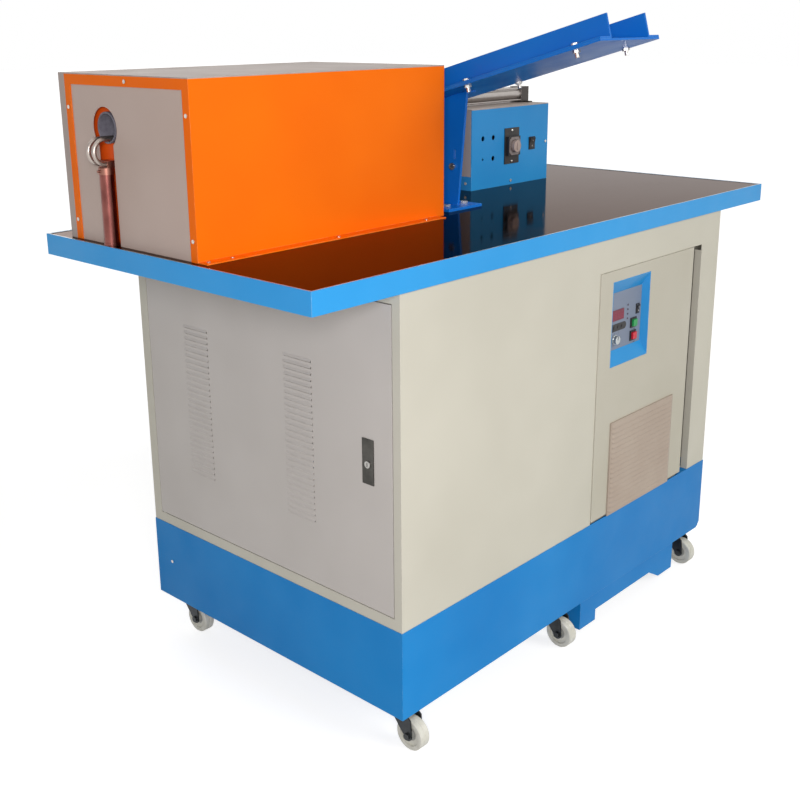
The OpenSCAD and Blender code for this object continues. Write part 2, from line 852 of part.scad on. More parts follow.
// the lock's body: a face plate on the door with a case behind it
module door_lock() {
  x0 = -shell_x - lock_proud;
  color([0.28, 0.28, 0.27]) difference() {
    union() {
      block([x0, lock_y - lock_width / 2, lock_z - lock_height / 2],
            [-shell_x, lock_y + lock_width / 2, lock_z + lock_height / 2]);
      block([-shell_x, lock_y - lock_width / 2 + lock_proud, lock_z - lock_height / 2 + lock_proud],
            [-shell_x + door_fold - cam_gap, lock_y + lock_width / 2 - lock_proud,
             lock_z + lock_height / 2 - lock_proud]);
    }
    rod_x(plug_d + 2 * running_play, door_fold + lock_proud + 2 * cut, [x0 - cut, lock_y, plug_z]);
  }
}

// the lock's plug with its key slot, and its cam, which hangs down when the door is unlocked
module lock_cam() {
  x0 = -shell_x - lock_proud - plug_proud;
  cam_x = -shell_x + door_fold;
  color(STEEL) difference() {
    union() {
      rod_x(plug_d, cam_x + cam_gap + cam_sheet - x0, [x0, lock_y, plug_z]);
      block([cam_x + cam_gap, lock_y - cam_width / 2, plug_z - cam_length],
            [cam_x + cam_gap + cam_sheet, lock_y + cam_width / 2, plug_z + cam_width / 2]);
    }
    block([x0 - cut, lock_y - key_slot_width / 2, plug_z - key_slot_length / 2],
          [x0 + key_slot_depth, lock_y + key_slot_width / 2, plug_z + key_slot_length / 2]);
  }
}

// the cable gland and the two water connections on the machine's back
module rear_fittings() {
  y = shell_y + panel_relief;
  z = skirt_top + fittings_height;
  color(BRASS) difference() {
    union() {
      rod_y(gland_d, gland_length / 2, [0, y, z]);
      rod_y(gland_d - cabinet_sheet * 2, gland_length, [0, y, z]);
      for (side = [-1, 1]) {
        rod_y(barb_d + cabinet_sheet * 2, barb_length / 3, [side * barb_spacing, y, z]);
        rod_y(barb_d, barb_length, [side * barb_spacing, y, z]);
      }
    }
    rod_y(gland_d / 2, gland_length, [0, y + cut, z]);
    for (side = [-1, 1]) rod_y(barb_d / 2, barb_length, [side * barb_spacing, y + cut, z]);
  }
}

module table_frame() {
  x = table_length / 2;
  y = table_depth / 2;
  color(BLUE) {
    sheet_ring(x, y, rim_bottom, table_height, rim_sheet);
    sheet_ring(x, y, rim_bottom, rim_bottom + rim_sheet, rim_return);
    sheet_ring(x, y, deck_bottom - ledge_sheet, deck_bottom, ledge_width);
    for (bar_x = [-shell_x, shell_x - crossbar_width])
      difference() {
        block([bar_x, rim_sheet - y, rim_bottom], [bar_x + crossbar_width, y - rim_sheet, deck_bottom]);
        block([bar_x + rim_sheet, -y, rim_bottom + rim_sheet],
              [bar_x + crossbar_width - rim_sheet, y, deck_bottom - rim_sheet]);
      }
  }
}

module table_deck() {
  x = table_length / 2 - rim_sheet;
  y = table_depth / 2 - rim_sheet;
  color([0.30, 0.27, 0.26]) difference() {
    block([-x, -y, deck_bottom], [x, y, deck_top]);
    lead_hole();
  }
}

// the hole that the coil's leads pass down through
module lead_hole() {
  half = lead_spread + lead_bar / 2 + lead_hole_margin;
  block([lead_x - lead_hole_margin, axis_y - half, deck_bottom - cut],
        [lead_x + lead_space + lead_bar + lead_hole_margin, axis_y + half, deck_top + cut]);
}

module recess_pocket() {
  block([recess_x0 - recess_wall, unit_y0 - cut, recess_z0 - recess_wall],
        [recess_x1 + recess_wall, panel_y + panel_sheet + recess_wall, recess_z1 + recess_wall]);
}

// the power unit's sheet housing, open below where it stands on the pan, with a folded face plate
module unit_housing() {
  body_y0 = unit_y0 + unit_face_depth;
  body_x0 = unit_x0 + unit_body_inset;
  body_x1 = unit_x1 - unit_body_inset;
  body_z1 = unit_z1 - unit_body_inset;
  color(BEIGE) difference() {
    union() {
      difference() {
        block([body_x0, body_y0, pan_top], [body_x1, unit_back, body_z1]);
        block([body_x0 + unit_sheet, body_y0 + unit_sheet, pan_top - cut],
              [body_x1 - unit_sheet, unit_back - unit_sheet, body_z1 - unit_sheet]);
      }
      block([unit_x0, unit_y0, unit_z0], [unit_x1, body_y0, unit_z1]);
    }
    recess_pocket();
  }
}

// the blue tray of the control panel: a block with a pocket whose four sides slope
module panel_recess() {
  color(BLUE) difference() {
    recess_block();
    intersection() {
      along_x(recess_x0 - recess_wall, recess_width + 2 * recess_wall)
        polygon([[unit_y0 - cut, recess_z0], [unit_y0, recess_z0], [panel_y, panel_z0],
                 [panel_y + panel_sheet, panel_z0], [panel_y + panel_sheet, panel_z1],
                 [panel_y, panel_z1], [unit_y0, recess_z1], [unit_y0 - cut, recess_z1]]);
      translate([0, 0, recess_z0 - recess_wall]) linear_extrude(recess_height + 2 * recess_wall)
        polygon([[recess_x0, unit_y0 - cut], [recess_x0, unit_y0], [panel_x0, panel_y],
                 [panel_x0, panel_y + panel_sheet], [panel_x1, panel_y + panel_sheet],
                 [panel_x1, panel_y], [recess_x1, unit_y0], [recess_x1, unit_y0 - cut]]);
    }
  }
}

module recess_block() {
  block([recess_x0 - recess_wall, unit_y0, recess_z0 - recess_wall],
        [recess_x1 + recess_wall, panel_y + panel_sheet + recess_wall, recess_z1 + recess_wall]);
}

// a point on the control plate's face, by its shares of the plate
function on_panel(share_x, share_z) = [panel_x0 + share_x * panel_w, panel_y, panel_z0 + share_z * panel_h];

module control_plate() {
  knob_at = on_panel(knob_x_share, knob_z_share);
  color([0.58, 0.62, 0.66]) {
    block([panel_x0, panel_y, panel_z0], [panel_x1, panel_y + panel_sheet, panel_z1]);
    rod_y(knob_shaft_d, knob_height / 2, knob_at - [0, knob_height / 2, 0]);
  }
}

// a flat thing on the control plate, centred on a point and standing out by a depth
module on_plate(at, width, height, proud) {
  block(at + [-width / 2, -proud, -height / 2], at + [width / 2, 0, height / 2]);
}

module display_window() {
  color([0.50, 0.10, 0.22])
    on_plate(on_panel(display_x_share, display_z_share), display_width, display_height, display_proud);
}

// the square frame that a push button's cap slides in
module bezel_at(at) {
  hole = button_cap + 2 * button_play;
  difference() {
    on_plate(at, bezel_side, bezel_side, bezel_proud);
    on_plate(at + [0, cut, 0], hole, hole, bezel_proud + 2 * cut);
  }
}

// the oval keypad, the push buttons' bezels and the rocker's frame
module panel_bezels() {
  keypad_at = on_panel(keypad_x_share, keypad_z_share);
  rocker_at = on_panel(rocker_x_share, rocker_z_share);
  color(BLACK) {
    bezel_at(on_panel(button_x_share, start_z_share));
    bezel_at(on_panel(button_x_share, stop_z_share));
    keypad(keypad_at);
    rocker_frame(rocker_at, rocker_width, rocker_height);
  }
}

module keypad(at) {
  straight = keypad_width - keypad_height;
  on_plate(at, straight, keypad_height, keypad_proud);
  for (side = [-1, 1])
    rod_y(keypad_height, keypad_proud, at + [side * straight / 2, -keypad_proud, 0]);
  for (step = [-1, 0, 1])
    rod_y(keypad_key_d, keypad_proud * 2, at + [step * straight / 3, -keypad_proud * 2, 0]);
}

// a frame for a rocker: an open rectangle with two trunnions that the rocker turns on
module rocker_frame(at, width, height) {
  difference() {
    on_plate(at, width, height, rocker_proud);
    on_plate(at + [0, cut, 0], width - 2 * rocker_wall, height - 2 * rocker_wall, rocker_proud + 2 * cut);
  }
  for (side = [-1, 1]) {
    inner = rocker_half(width) - trunnion_depth;
    outer = width / 2 - rocker_wall / 2;
    rod_x(trunnion_d, outer - inner, at + [min(side * inner, side * outer), -rocker_proud, 0]);
  }
}

// half the width of the rocker in a frame of this width
function rocker_half(width) = width / 2 - rocker_wall - rocker_play;

// a rocker about a point on the panel, tilted with its upper end out
module rocker_at(at, width, height) {
  half = rocker_half(width);
  h = height - 2 * rocker_wall - 4 * rocker_play;
  translate([at[0], at[1] - rocker_proud, at[2]]) rotate([rocker_tilt, 0, 0])
    difference() {
      along_x(-half, 2 * half)
        polygon([[-rocker_proud, -h / 2], [-rocker_proud / 2, 0], [-rocker_proud, h / 2],
                 [0, h / 2], [rocker_root, 0], [0, -h / 2]]);
      for (x = [-half - cut, half - trunnion_depth - running_play])
        rod_x(trunnion_d + 2 * running_play, trunnion_depth + running_play + cut, [x, 0, 0]);
    }
}

module power_rocker() {
  color(BLACK) rocker_at(on_panel(rocker_x_share, rocker_z_share), rocker_width, rocker_height);
}

module start_button() {
  at = on_panel(button_x_share, start_z_share);
  color([0.10, 0.60, 0.30])
    on_plate(at - [0, button_travel + sheet_gap, 0], button_cap, button_cap, button_proud - button_travel);
}

module stop_button() {
  at = on_panel(button_x_share, stop_z_share);
  color([0.75, 0.12, 0.12]) {
    on_plate(at - [0, button_travel + sheet_gap, 0], button_cap, button_cap, button_proud - button_travel);
  }
}

module level_knob() {
  at = on_panel(knob_x_share, knob_z_share);
  color(BLACK) difference() {
    union() {
      rod_y(level_knob_d + 2 * knob_skirt, knob_skirt, at - [0, knob_skirt + knob_gap, 0]);
      rod_y(level_knob_d, knob_height - knob_gap, at - [0, knob_height, 0]);
      block(at + [-knob_pointer / 2, -knob_height - knob_pointer / 2, 0],
            at + [knob_pointer / 2, -knob_height, level_knob_d / 2]);
    }
    rod_y(knob_shaft_d + 2 * running_play, knob_height / 2 + running_play,
          at - [0, knob_height / 2 + running_play, 0]);
  }
}

module indicator_leds() {
  color([0.75, 0.20, 0.15])
    for (share = led_z_shares)
      rod_y(led_d, led_proud, on_panel(led_x_share, share) - [0, led_proud, 0]);
}

module grill() {
  x1 = grill_x0 + grill_width;
  z1 = grill_z0 + grill_height;
  y0 = unit_y0 - grill_depth;
  pitch = (grill_height - 2 * grill_frame) / grill_slats;
  color([0.68, 0.63, 0.56]) {
    difference() {
      block([grill_x0, y0 + grill_back, grill_z0], [x1, unit_y0, z1]);
      block([grill_x0 + grill_frame, y0 - cut, grill_z0 + grill_frame],
            [x1 - grill_frame, unit_y0 - grill_back, z1 - grill_frame]);
    }
    for (i = [0:grill_slats - 1])
      along_x(grill_x0 + grill_frame, grill_width - 2 * grill_frame)
        polygon([[unit_y0 - grill_back, grill_z0 + grill_frame + i * pitch + pitch / 2],
                 [y0, grill_z0 + grill_frame + i * pitch],
                 [y0, grill_z0 + grill_frame + i * pitch + pitch / 3],
                 [unit_y0 - grill_back, grill_z0 + grill_frame + i * pitch + pitch]]);
  }
}

// the orange three-sided frame around an end panel
module end_frame(x) {
  difference() {
    block([x, furnace_y0, deck_top], [x + furnace_sheet, furnace_y1, furnace_case_top]);
    block([x - cut, furnace_y0 + frame_band, deck_top - cut],
          [x + furnace_sheet + cut, furnace_y1 - frame_band, furnace_case_top - frame_band]);
  }
}

module furnace_case() {
  color(ORANGE) {
    block([furnace_x0, furnace_y0, deck_top], [furnace_x1, furnace_y0 + furnace_sheet, furnace_case_top]);
    block([furnace_x0, furnace_y0 - foot_lip, deck_top],
          [furnace_x1 - foot_lip_end, furnace_y0, deck_top + furnace_sheet]);
    end_frame(furnace_x0);
    end_frame(furnace_x1 - furnace_sheet);
  }
}

module case_cover() {
  color([0.76, 0.73, 0.71]) {
    block([furnace_x0, furnace_y0, furnace_case_top], [furnace_x1, furnace_back, furnace_top]);
    block([furnace_x0, furnace_back - furnace_sheet, deck_top],
          [furnace_x1, furnace_back, furnace_case_top]);
    for (x = [furnace_x0, furnace_x1 - furnace_sheet])
      block([x, furnace_y1, deck_top], [x + furnace_sheet, furnace_back - furnace_sheet, furnace_case_top]);
  }
}

module keyhole(x, length) {
  rod_x(keyhole_d, length, [x, axis_y, axis_z]);
  block([x, axis_y - keyhole_slot / 2, deck_top - cut], [x + length, axis_y + keyhole_slot / 2, axis_z]);
}

// the two grey end panels, behind the orange frames
module end_panels() {
  y0 = furnace_y0 + furnace_sheet + sheet_gap;
  y1 = furnace_y1 - sheet_gap;
  left_x = furnace_x0 + furnace_sheet;
  right_x = furnace_x1 - 2 * furnace_sheet;
  color(GREY) {
    difference() {
      block([left_x, y0, deck_top], [left_x + furnace_sheet, y1, furnace_case_top]);
      keyhole(left_x - cut, furnace_sheet + 2 * cut);
    }
    difference() {
      block([right_x, y0, deck_top], [right_x + furnace_sheet, y1, furnace_case_top]);
      rod_x(keyhole_d, furnace_sheet + 2 * cut, [right_x - cut, axis_y, axis_z]);
    }
  }
}

// the coil's turns lie side by side, each stepped to the next by a link on its upper side
module coil() {
  link_z = axis_z + coil_r0;
  color(COPPER) {
    for (i = [0:coil_turns - 1]) {
      x = coil_x0 + i * coil_pitch;
      difference() {
        rod_x(2 * coil_r1, coil_bar, [x, axis_y, axis_z]);
        rod_x(2 * coil_r0, coil_bar + 2 * cut, [x - cut, axis_y, axis_z]);
      }
      if (i < coil_turns - 1)
        block([x + coil_bar - coil_link, axis_y - coil_bar / 2, link_z + coil_link],
              [x + coil_pitch + coil_link, axis_y + coil_bar / 2, link_z + coil_bar - coil_link]);
      if (i % coil_turns_per_stud == 2)
        for (side = [-1, 1]) coil_stud_at(x + coil_bar / 2, side);
    }
    coil_lead(coil_x0, lead_x, -lead_spread);
    coil_lead(coil_x1 - coil_bar, lead_x + lead_space, lead_spread);
  }
}

// a stud brazed to a turn's side, which seats against the side board
module coil_stud_at(x, side) {
  half = coil_stud_width / 2;
  block([x - half, axis_y + side * (coil_r1 - coil_stud), axis_z - half],
        [x + half, axis_y + side * side_board_y, axis_z + half]);
}

// a lead from one end turn, along under the coil and down through the deck
module coil_lead(from_x, to_x, dy) {
  top = axis_z - coil_r0 - coil_bar / 2;
  low = axis_z - coil_r1 - lead_drop;
  y = axis_y + dy;
  block([from_x, y - lead_bar / 2, low], [from_x + lead_bar, y + lead_bar / 2, top]);
  block([min(from_x, to_x), y - lead_bar / 2, low - lead_bar],
        [max(from_x, to_x) + lead_bar, y + lead_bar / 2, low]);
  block([to_x, y - lead_bar / 2, lead_bottom], [to_x + lead_bar, y + lead_bar / 2, low]);
}

module coil_lining() {
  color([0.72, 0.70, 0.66]) difference() {
    union() {
      rod_x(nose_d, lining_x1 - lining_x0, [lining_x0, axis_y, axis_z]);
      rod_x(lining_d, mount_x1 - mount_x0 - 2 * mount_board, [mount_x0 + mount_board, axis_y, axis_z]);
    }
    rod_x(lining_bore, lining_x1 - lining_x0 + 2 * cut, [lining_x0 - cut, axis_y, axis_z]);
  }
}

// the insulating boards: two ends that carry the lining and two sides that hold the coil's studs
module coil_mounts() {
  end_y = side_board_y + mount_board;
  color([0.80, 0.33, 0.12]) {
    for (x = [mount_x0, mount_x1 - mount_board])
      difference() {
        block([x, axis_y - end_y, deck_top],
              [x + mount_board, axis_y + end_y, axis_z + side_board_height / 2]);
        rod_x(nose_d, mount_board + 2 * cut, [x - cut, axis_y, axis_z]);
      }
    for (y = [axis_y - end_y, axis_y + side_board_y])
      block([mount_x0, y, axis_z - side_board_height / 2],
            [mount_x1, y + mount_board, axis_z + side_board_height / 2]);
  }
}

// one guide rail: through the bore, round the bend outside and back through the manifold
module rail_tube(dy) {
  y = axis_y + dy;
  rod_x(rail_d, furnace_x1 - bend_x, [bend_x, y, rail_z]);
  rod_x(rail_d, manifold_x1 - bend_x, [bend_x, y, rail_low_z]);
  translate([bend_x, y, rail_z - rail_bend]) rotate([90, 0, 0]) rotate([0, 0, 90])
    rotate_extrude(angle = 180) translate([rail_bend, 0]) circle(d = rail_d);
}

module rail_tubes() {
  color(STEEL) {
    rail_tube(-rail_dy);
    rail_tube(rail_dy);
  }
}

module riser_tube() {
  color([0.30, 0.16, 0.13]) {
    rod_z(riser_foot_d, riser_foot_height, [riser_x, axis_y, deck_top]);
    rod_z(riser_d, riser_height, [riser_x, axis_y, deck_top]);
  }
}

module riser_fitting() {
  z0 = deck_top + riser_height;
  z1 = z0 + collar_height;
  color(BRASS) {
    rod_z(collar_d, collar_height, [riser_x, axis_y, z0]);
    difference() {
      block([bend_x, axis_y - manifold_y / 2, z1],
            [manifold_x1, axis_y + manifold_y / 2, z1 + manifold_height]);
      for (dy = [-rail_dy, rail_dy])
        rod_x(rail_d + 2 * running_play, manifold_x1 - bend_x + 2 * cut,
              [bend_x - cut, axis_y + dy, rail_low_z]);
    }
    rod_x(clamp_screw_d, clamp_screw_length + collar_d / 2,
          [riser_x - collar_d / 2 - clamp_screw_length, axis_y, z0 + collar_height / 2]);
  }
}

// one of the two windows of the transformer's core
module core_window(y, z0, z1) {
  block([transformer_x0 - cut, y + core_leg, z0 + core_leg],
        [transformer_x0 + transformer_x + cut, y + (transformer_y - core_leg) / 2, z1 - core_leg]);
}

module transformer() {
  x1 = transformer_x0 + transformer_x;
  y1 = transformer_y0 + transformer_y;
  z0 = pan_top + transformer_foot;
  z1 = z0 + transformer_z;
  color([0.20, 0.20, 0.22]) {
    difference() {
      block([transformer_x0, transformer_y0, z0], [x1, y1, z1]);
      for (side = [0, 1])
        core_window(transformer_y0 + side * (transformer_y - core_leg) / 2, z0, z1);
    }
    for (x = [transformer_x0, x1 - core_leg])
      block([x, transformer_y0 - transformer_foot, pan_top], [x + core_leg, y1 + transformer_foot, z0]);
  }
}

// the copper of the heating circuit: the winding's plates, the two risers to the coil's leads
// and the strap to the capacitors
module busbars() {
  z1 = pan_top + transformer_foot + transformer_z;
  top_z = lead_bottom + bus_width;
  capacitor_top = pan_top + capacitor_z + stud_height;
  x1 = transformer_x0 + transformer_x;
  color(COPPER) {
    for (side = [-1, 1]) {
      y = axis_y + side * (lead_spread + lead_bar / 2);
      x = lead_x + (side + 1) / 2 * lead_space - (bus_width - lead_bar) / 2;
      block([x, min(y, y + side * bus_sheet), z1], [x + bus_width, max(y, y + side * bus_sheet), top_z]);
      block([transformer_x0 - winding_proud, y, z1],
            [x1 + winding_proud, y + side * bus_width, z1 + bus_sheet]);
    }
    strap_y = axis_y - lead_spread - lead_bar / 2 - bus_width;
    rear_stud_y = capacitor_y0 + capacitor_y - stud_inset;
    block([x1 + winding_proud - bus_sheet, strap_y, z1 + bus_sheet],
          [x1 + winding_proud, strap_y + bus_width, capacitor_top + bus_sheet]);
    block([x1 + winding_proud - bus_width, rear_stud_y - stud_d, capacitor_top],
          [x1 + winding_proud, strap_y + bus_width, capacitor_top + bus_sheet]);
    for (y = [capacitor_y0 + stud_inset, rear_stud_y])
      block([capacitor_x0, y - stud_d, capacitor_top],
            [capacitor_x0 + capacitor_count * (capacitor_x + capacitor_space) - capacitor_space,
             y + stud_d, capacitor_top + bus_sheet]);
  }
}

module capacitors() {
  color([0.78, 0.79, 0.78])
    for (i = [0:capacitor_count - 1]) {
      x = capacitor_x0 + i * (capacitor_x + capacitor_space);
      block([x, capacitor_y0, pan_top], [x + capacitor_x, capacitor_y0 + capacitor_y, pan_top + capacitor_z]);
      for (y = [capacitor_y0 + stud_inset, capacitor_y0 + capacitor_y - stud_inset])
        rod_z(stud_d, stud_height, [x + capacitor_x / 2, y, pan_top + capacitor_z]);
    }
}

// height of the tray flanges' upper face at a place along Y
function tray_z(y) = tray_rear_z + (tray_rear_y - y) * tan(tray_slope);

// places its children in the tray's own axes: x as it is, y down the slope, z square to it
module in_tray() {
  translate([0, tray_rear_y, tray_rear_z]) rotate([-tray_slope, 0, 0])
    translate([0, -tray_length, 0]) children();
}

// the tray's underside, measured upright
function tray_under_z(y) = tray_z(y) - tray_deck / cos(tray_slope);

module feed_upright() {
  lean_top_y = upright_foot_y - upright_lean;
  foot_z = deck_top + base_plate_sheet;
  end_y = axis_y - trough_width / 2 - trough_sheet - upright_sheet;
  color(DEEP_BLUE) difference() {
    union() {
      along_x(upright_x, upright_sheet)
        polygon([[upright_foot_y, deck_top], [lean_top_y, tray_under_z(lean_top_y)],
                 [end_y, tray_under_z(end_y)], [end_y, trough_bottom - trough_sheet],
                 [upright_back, trough_bottom - trough_sheet], [upright_back, deck_top]]);
      block([base_plate_x0, base_plate_y0, deck_top], [base_plate_x1, upright_back, foot_z]);
      upright_top_flange(lean_top_y, end_y);
    }
    block([upright_x - cut, slot_y, slot_z],
          [upright_x + upright_sheet + cut, slot_y + slot_width, slot_z + slot_height]);
  }
}

// the flange along the upright's sloping top, which the tray's plate is bolted to
module upright_top_flange(y0, y1) {
  along_x(upright_x, upright_flange)
    polygon([[y0, tray_under_z(y0)], [y1, tray_under_z(y1)],
             [y1, tray_under_z(y1) - tray_sheet], [y0, tray_under_z(y0) - tray_sheet]]);
}

module tray_plate() {
  color(DEEP_BLUE) in_tray() difference() {
    block([tray_x0, 0, -tray_deck], [tray_x1, tray_length, -tray_sheet]);
    for (x = tray_bolt_xs(), share = bolt_shares)
      rod_z(wall_bolt_d + bolt_gap, tray_deck, [x, share * tray_length, -tray_deck - cut]);
  }
}

// the bolts' places across the tray, in the middle of each angle's flange
function tray_bolt_xs() = [tray_x0 + (tray_leg - tray_sheet) / 2, tray_x1 - (tray_leg - tray_sheet) / 2];

// one angle: its flange lies on the plate from x inwards, and its wall stands at the flange's inner end
module tray_angle(x, side) {
  wall_x = x + side * (tray_leg - tray_sheet);
  difference() {
    union() {
      block([x, 0, -tray_sheet], [wall_x, tray_length, 0]);
      block([wall_x, 0, -tray_sheet], [wall_x + side * tray_sheet, tray_length, tray_wall]);
    }
    for (share = bolt_shares)
      rod_z(wall_bolt_d + bolt_gap, tray_deck, [(x + wall_x) / 2, share * tray_length, -tray_sheet - cut]);
  }
}

module tray_angles() {
  color(DEEP_BLUE) in_tray() {
    tray_angle(tray_x0, 1);
    tray_angle(tray_x1, -1);
  }
}

module hex_head(at) {
  translate(at) cylinder(d = bolt_head_d, h = bolt_head_height, $fn = 6);
}

module tray_bolts() {
  color(STEEL) in_tray()
    for (x = tray_bolt_xs(), share = bolt_shares) {
      y = share * tray_length;
      rod_z(wall_bolt_d, tray_deck + bolt_tail, [x, y, -tray_deck - bolt_tail]);
      hex_head([x, y, 0]);
      hex_head([x, y, -tray_deck - bolt_head_height]);
    }
}

// the trough behind the tray: a low front lip that the billets drop over, and a high back
module feed_trough() {
  y0 = axis_y - trough_width / 2;
  y1 = axis_y + trough_width / 2;
  under_z = trough_bottom - trough_sheet;
  back_z = trough_bottom + trough_back;
  color(STEEL) along_x(trough_x0, trough_x1 - trough_x0)
    polygon([[y0 - trough_sheet, under_z], [y1 + trough_sheet, under_z],
             [y1 + trough_sheet, back_z], [y1, back_z],
             [y1, trough_bottom], [y0, trough_bottom], [y0, trough_bottom + trough_lip],
             [y0 - trough_sheet, trough_bottom + trough_lip]]);
}

// a point on the control box's face, by its shares of the face
function on_box(share_x, share_z) = [box_x0 + share_x * box_width, box_y0, deck_top + share_z * box_height];

module control_box() {
  holes = [[0, 0, lamp_hole_d], [1, 0, lamp_hole_d], [0, 1, small_hole_d], [1, 1, lamp_hole_d]];
  timer_at = on_box(timer_x_share, timer_z_share);
  rocker_at = on_box(feed_rocker_x_share, feed_rocker_z_share);
  rocker_half_w = feed_rocker_width / 2 - rocker_wall;
  rocker_half_h = feed_rocker_height / 2 - rocker_wall;
  color(BLUE) difference() {
    union() {
      block([box_x0, box_y0, deck_top], [box_x1, box_y0 + box_sheet, box_top - box_sheet]);
      block([box_x0, box_y0, deck_top], [box_x1, box_y1, deck_top + box_sheet]);
      block([box_x0, box_y1 - box_sheet, deck_top], [box_x1, box_y1, box_top - box_sheet]);
      for (x = [box_x0, box_x1 - box_sheet])
        block([x, box_y0, deck_top], [x + box_sheet, box_y1, deck_top + box_lip]);
    }
    for (hole = holes)
      rod_y(hole[2], box_sheet + 2 * cut,
            on_box(hole_x_shares[hole[0]], hole_z_shares[hole[1]]) - [0, cut, 0]);
    block(timer_at + [-timer_side / 2, -cut, -timer_side / 2],
          timer_at + [timer_side / 2, box_sheet + cut, timer_side / 2]);
    block(rocker_at + [-rocker_half_w, -cut, -rocker_half_h],
          rocker_at + [rocker_half_w, box_sheet + cut, rocker_half_h]);
  }
}

module control_cover() {
  color([0.74, 0.72, 0.69]) {
    block([box_x0, box_y0, box_top - box_sheet], [box_x1, box_y1, box_top]);
    for (x = [box_x0, box_x1 - box_sheet])
      block([x, box_y0 + box_sheet, deck_top + box_lip],
            [x + box_sheet, box_y1 - box_sheet, box_top - box_sheet]);
  }
}

// the timer: a face plate, a square body through the control box's face and a shaft for its knob
module timer_body() {
  at = on_box(timer_x_share, timer_z_share);
  color(BLACK) {
    on_plate(at, timer_width, timer_height, timer_plate);
    on_plate(at - [0, timer_plate, 0], timer_side, timer_side, timer_proud - timer_plate);
    block(at + [sheet_gap - timer_side / 2, 0, sheet_gap - timer_side / 2],
          at + [timer_side / 2 - sheet_gap, timer_depth, timer_side / 2 - sheet_gap]);
    rod_y(timer_shaft_d, timer_knob_height / 2, at - [0, timer_proud + timer_knob_height / 2, 0]);
    rocker_frame(on_box(feed_rocker_x_share, feed_rocker_z_share), feed_rocker_width, feed_rocker_height);
  }
}

module timer_knob() {
  at = on_box(timer_x_share, timer_z_share) - [0, timer_proud, 0];
  color([0.62, 0.60, 0.57]) difference() {
    union() {
      rod_y(timer_knob_d, timer_knob_height - knob_gap, at - [0, timer_knob_height, 0]);
      block(at + [-knob_pointer, -timer_knob_height - knob_pointer, -timer_knob_d / 3],
            at + [knob_pointer, -timer_knob_height, timer_knob_d / 3]);
    }
    rod_y(timer_shaft_d + 2 * running_play, timer_knob_height / 2 + running_play,
          at - [0, timer_knob_height / 2 + running_play, 0]);
  }
}

module feed_rocker() {
  at = on_box(feed_rocker_x_share, feed_rocker_z_share);
  color(BLACK) rocker_at(at, feed_rocker_width, feed_rocker_height);
}

// the cylinder: two square heads, a barrel, tie rods, foot brackets and air ports
module air_cylinder() {
  half = cylinder_head / 2;
  tie_rod_out = half - tie_rod_d;
  bore_x0 = cylinder_x0 + head_length;
  bore_x1 = cylinder_x1 - cap_length;
  color([0.70, 0.70, 0.69]) difference() {
    union() {
      for (span = [[cylinder_x0, bore_x0], [bore_x1, cylinder_x1]])
        block([span[0], axis_y - half, axis_z - half], [span[1], axis_y + half, axis_z + half]);
      rod_x(cylinder_bore + 2 * cylinder_wall, bore_length, [bore_x0, axis_y, axis_z]);
      for (side = [-1, 1], up = [-1, 1])
        rod_x(tie_rod_d, bore_length, [bore_x0, axis_y + side * tie_rod_out, axis_z + up * tie_rod_out]);
      for (x = [cylinder_x0, cylinder_x1 - foot_length])
        block([x, axis_y - foot_width / 2, box_top],
              [x + foot_length, axis_y + foot_width / 2, box_top + cylinder_foot]);
      for (x = [cylinder_x0 + head_length / 2, cylinder_x1 - cap_length / 2])
        rod_z(port_d, port_length, [x, axis_y, axis_z + half]);
    }
    rod_x(cylinder_bore, bore_length, [bore_x0, axis_y, axis_z]);
    rod_x(rod_d + 2 * running_play, head_length + 2 * cut, [cylinder_x0 - cut, axis_y, axis_z]);
  }
}

module piston_rod() {
  piston_x = cylinder_x1 - cap_length - piston_rest - piston_length;
  color(STEEL) {
    rod_x(cylinder_bore - 2 * running_play, piston_length, [piston_x, axis_y, axis_z]);
    rod_x(rod_d, piston_x - pusher_x, [pusher_x, axis_y, axis_z]);
    rod_x(pusher_d, pusher_length, [pusher_x, axis_y, axis_z]);
  }
}

// a pan head on a face that looks towards -X
module screw_on_left(at) {
  rod_x(screw_d, screw_height, at - [screw_height, 0, 0]);
}

// a pan head on a face that looks towards -Y
module screw_on_front(at) {
  rod_y(screw_d, screw_height, at - [0, screw_height, 0]);
}

module sheet_screws() {
  band = frame_band / 2;
  lip_y = furnace_y0 - foot_lip / 2;
  color(STEEL) {
    for (share = end_screw_shares)
      for (y = [furnace_y0 + band, furnace_y1 - band])
        screw_on_left([furnace_x0, y, deck_top + band + share * furnace_height]);
    screw_on_left([furnace_x0, axis_y - keyhole_d, furnace_case_top - band]);
    for (share = lip_screw_shares)
      rod_z(screw_d, screw_height, [furnace_x0 + share * furnace_length, lip_y, deck_top + furnace_sheet]);
    screw_on_front(on_box(1, 0.5) - [screw_edge, 0, 0]);
    screw_on_front(on_box(0.5, 0) + [0, 0, screw_edge]);
    screw_on_left([box_x0, box_y0 + box_lip / 2, deck_top + box_lip / 2]);
    screw_on_left([-skirt_x, skirt_y - skirt_screw_inset, ground_clearance + skirt_height / 2]);
    upright_bolts();
  }
}

module upright_bolts() {
  rod_x(bolt_head_d, bolt_head_height, [upright_x - bolt_head_height, upright_bolt_y, upright_bolt_z]);
  for (y = [base_plate_y0 + bolt_head_d * 2, upright_back - bolt_head_d * 2])
    for (x = [(base_plate_x0 + upright_x) / 2, (base_plate_x1 + upright_x + upright_sheet) / 2])
      hex_head([x, y, deck_top + base_plate_sheet]);
}

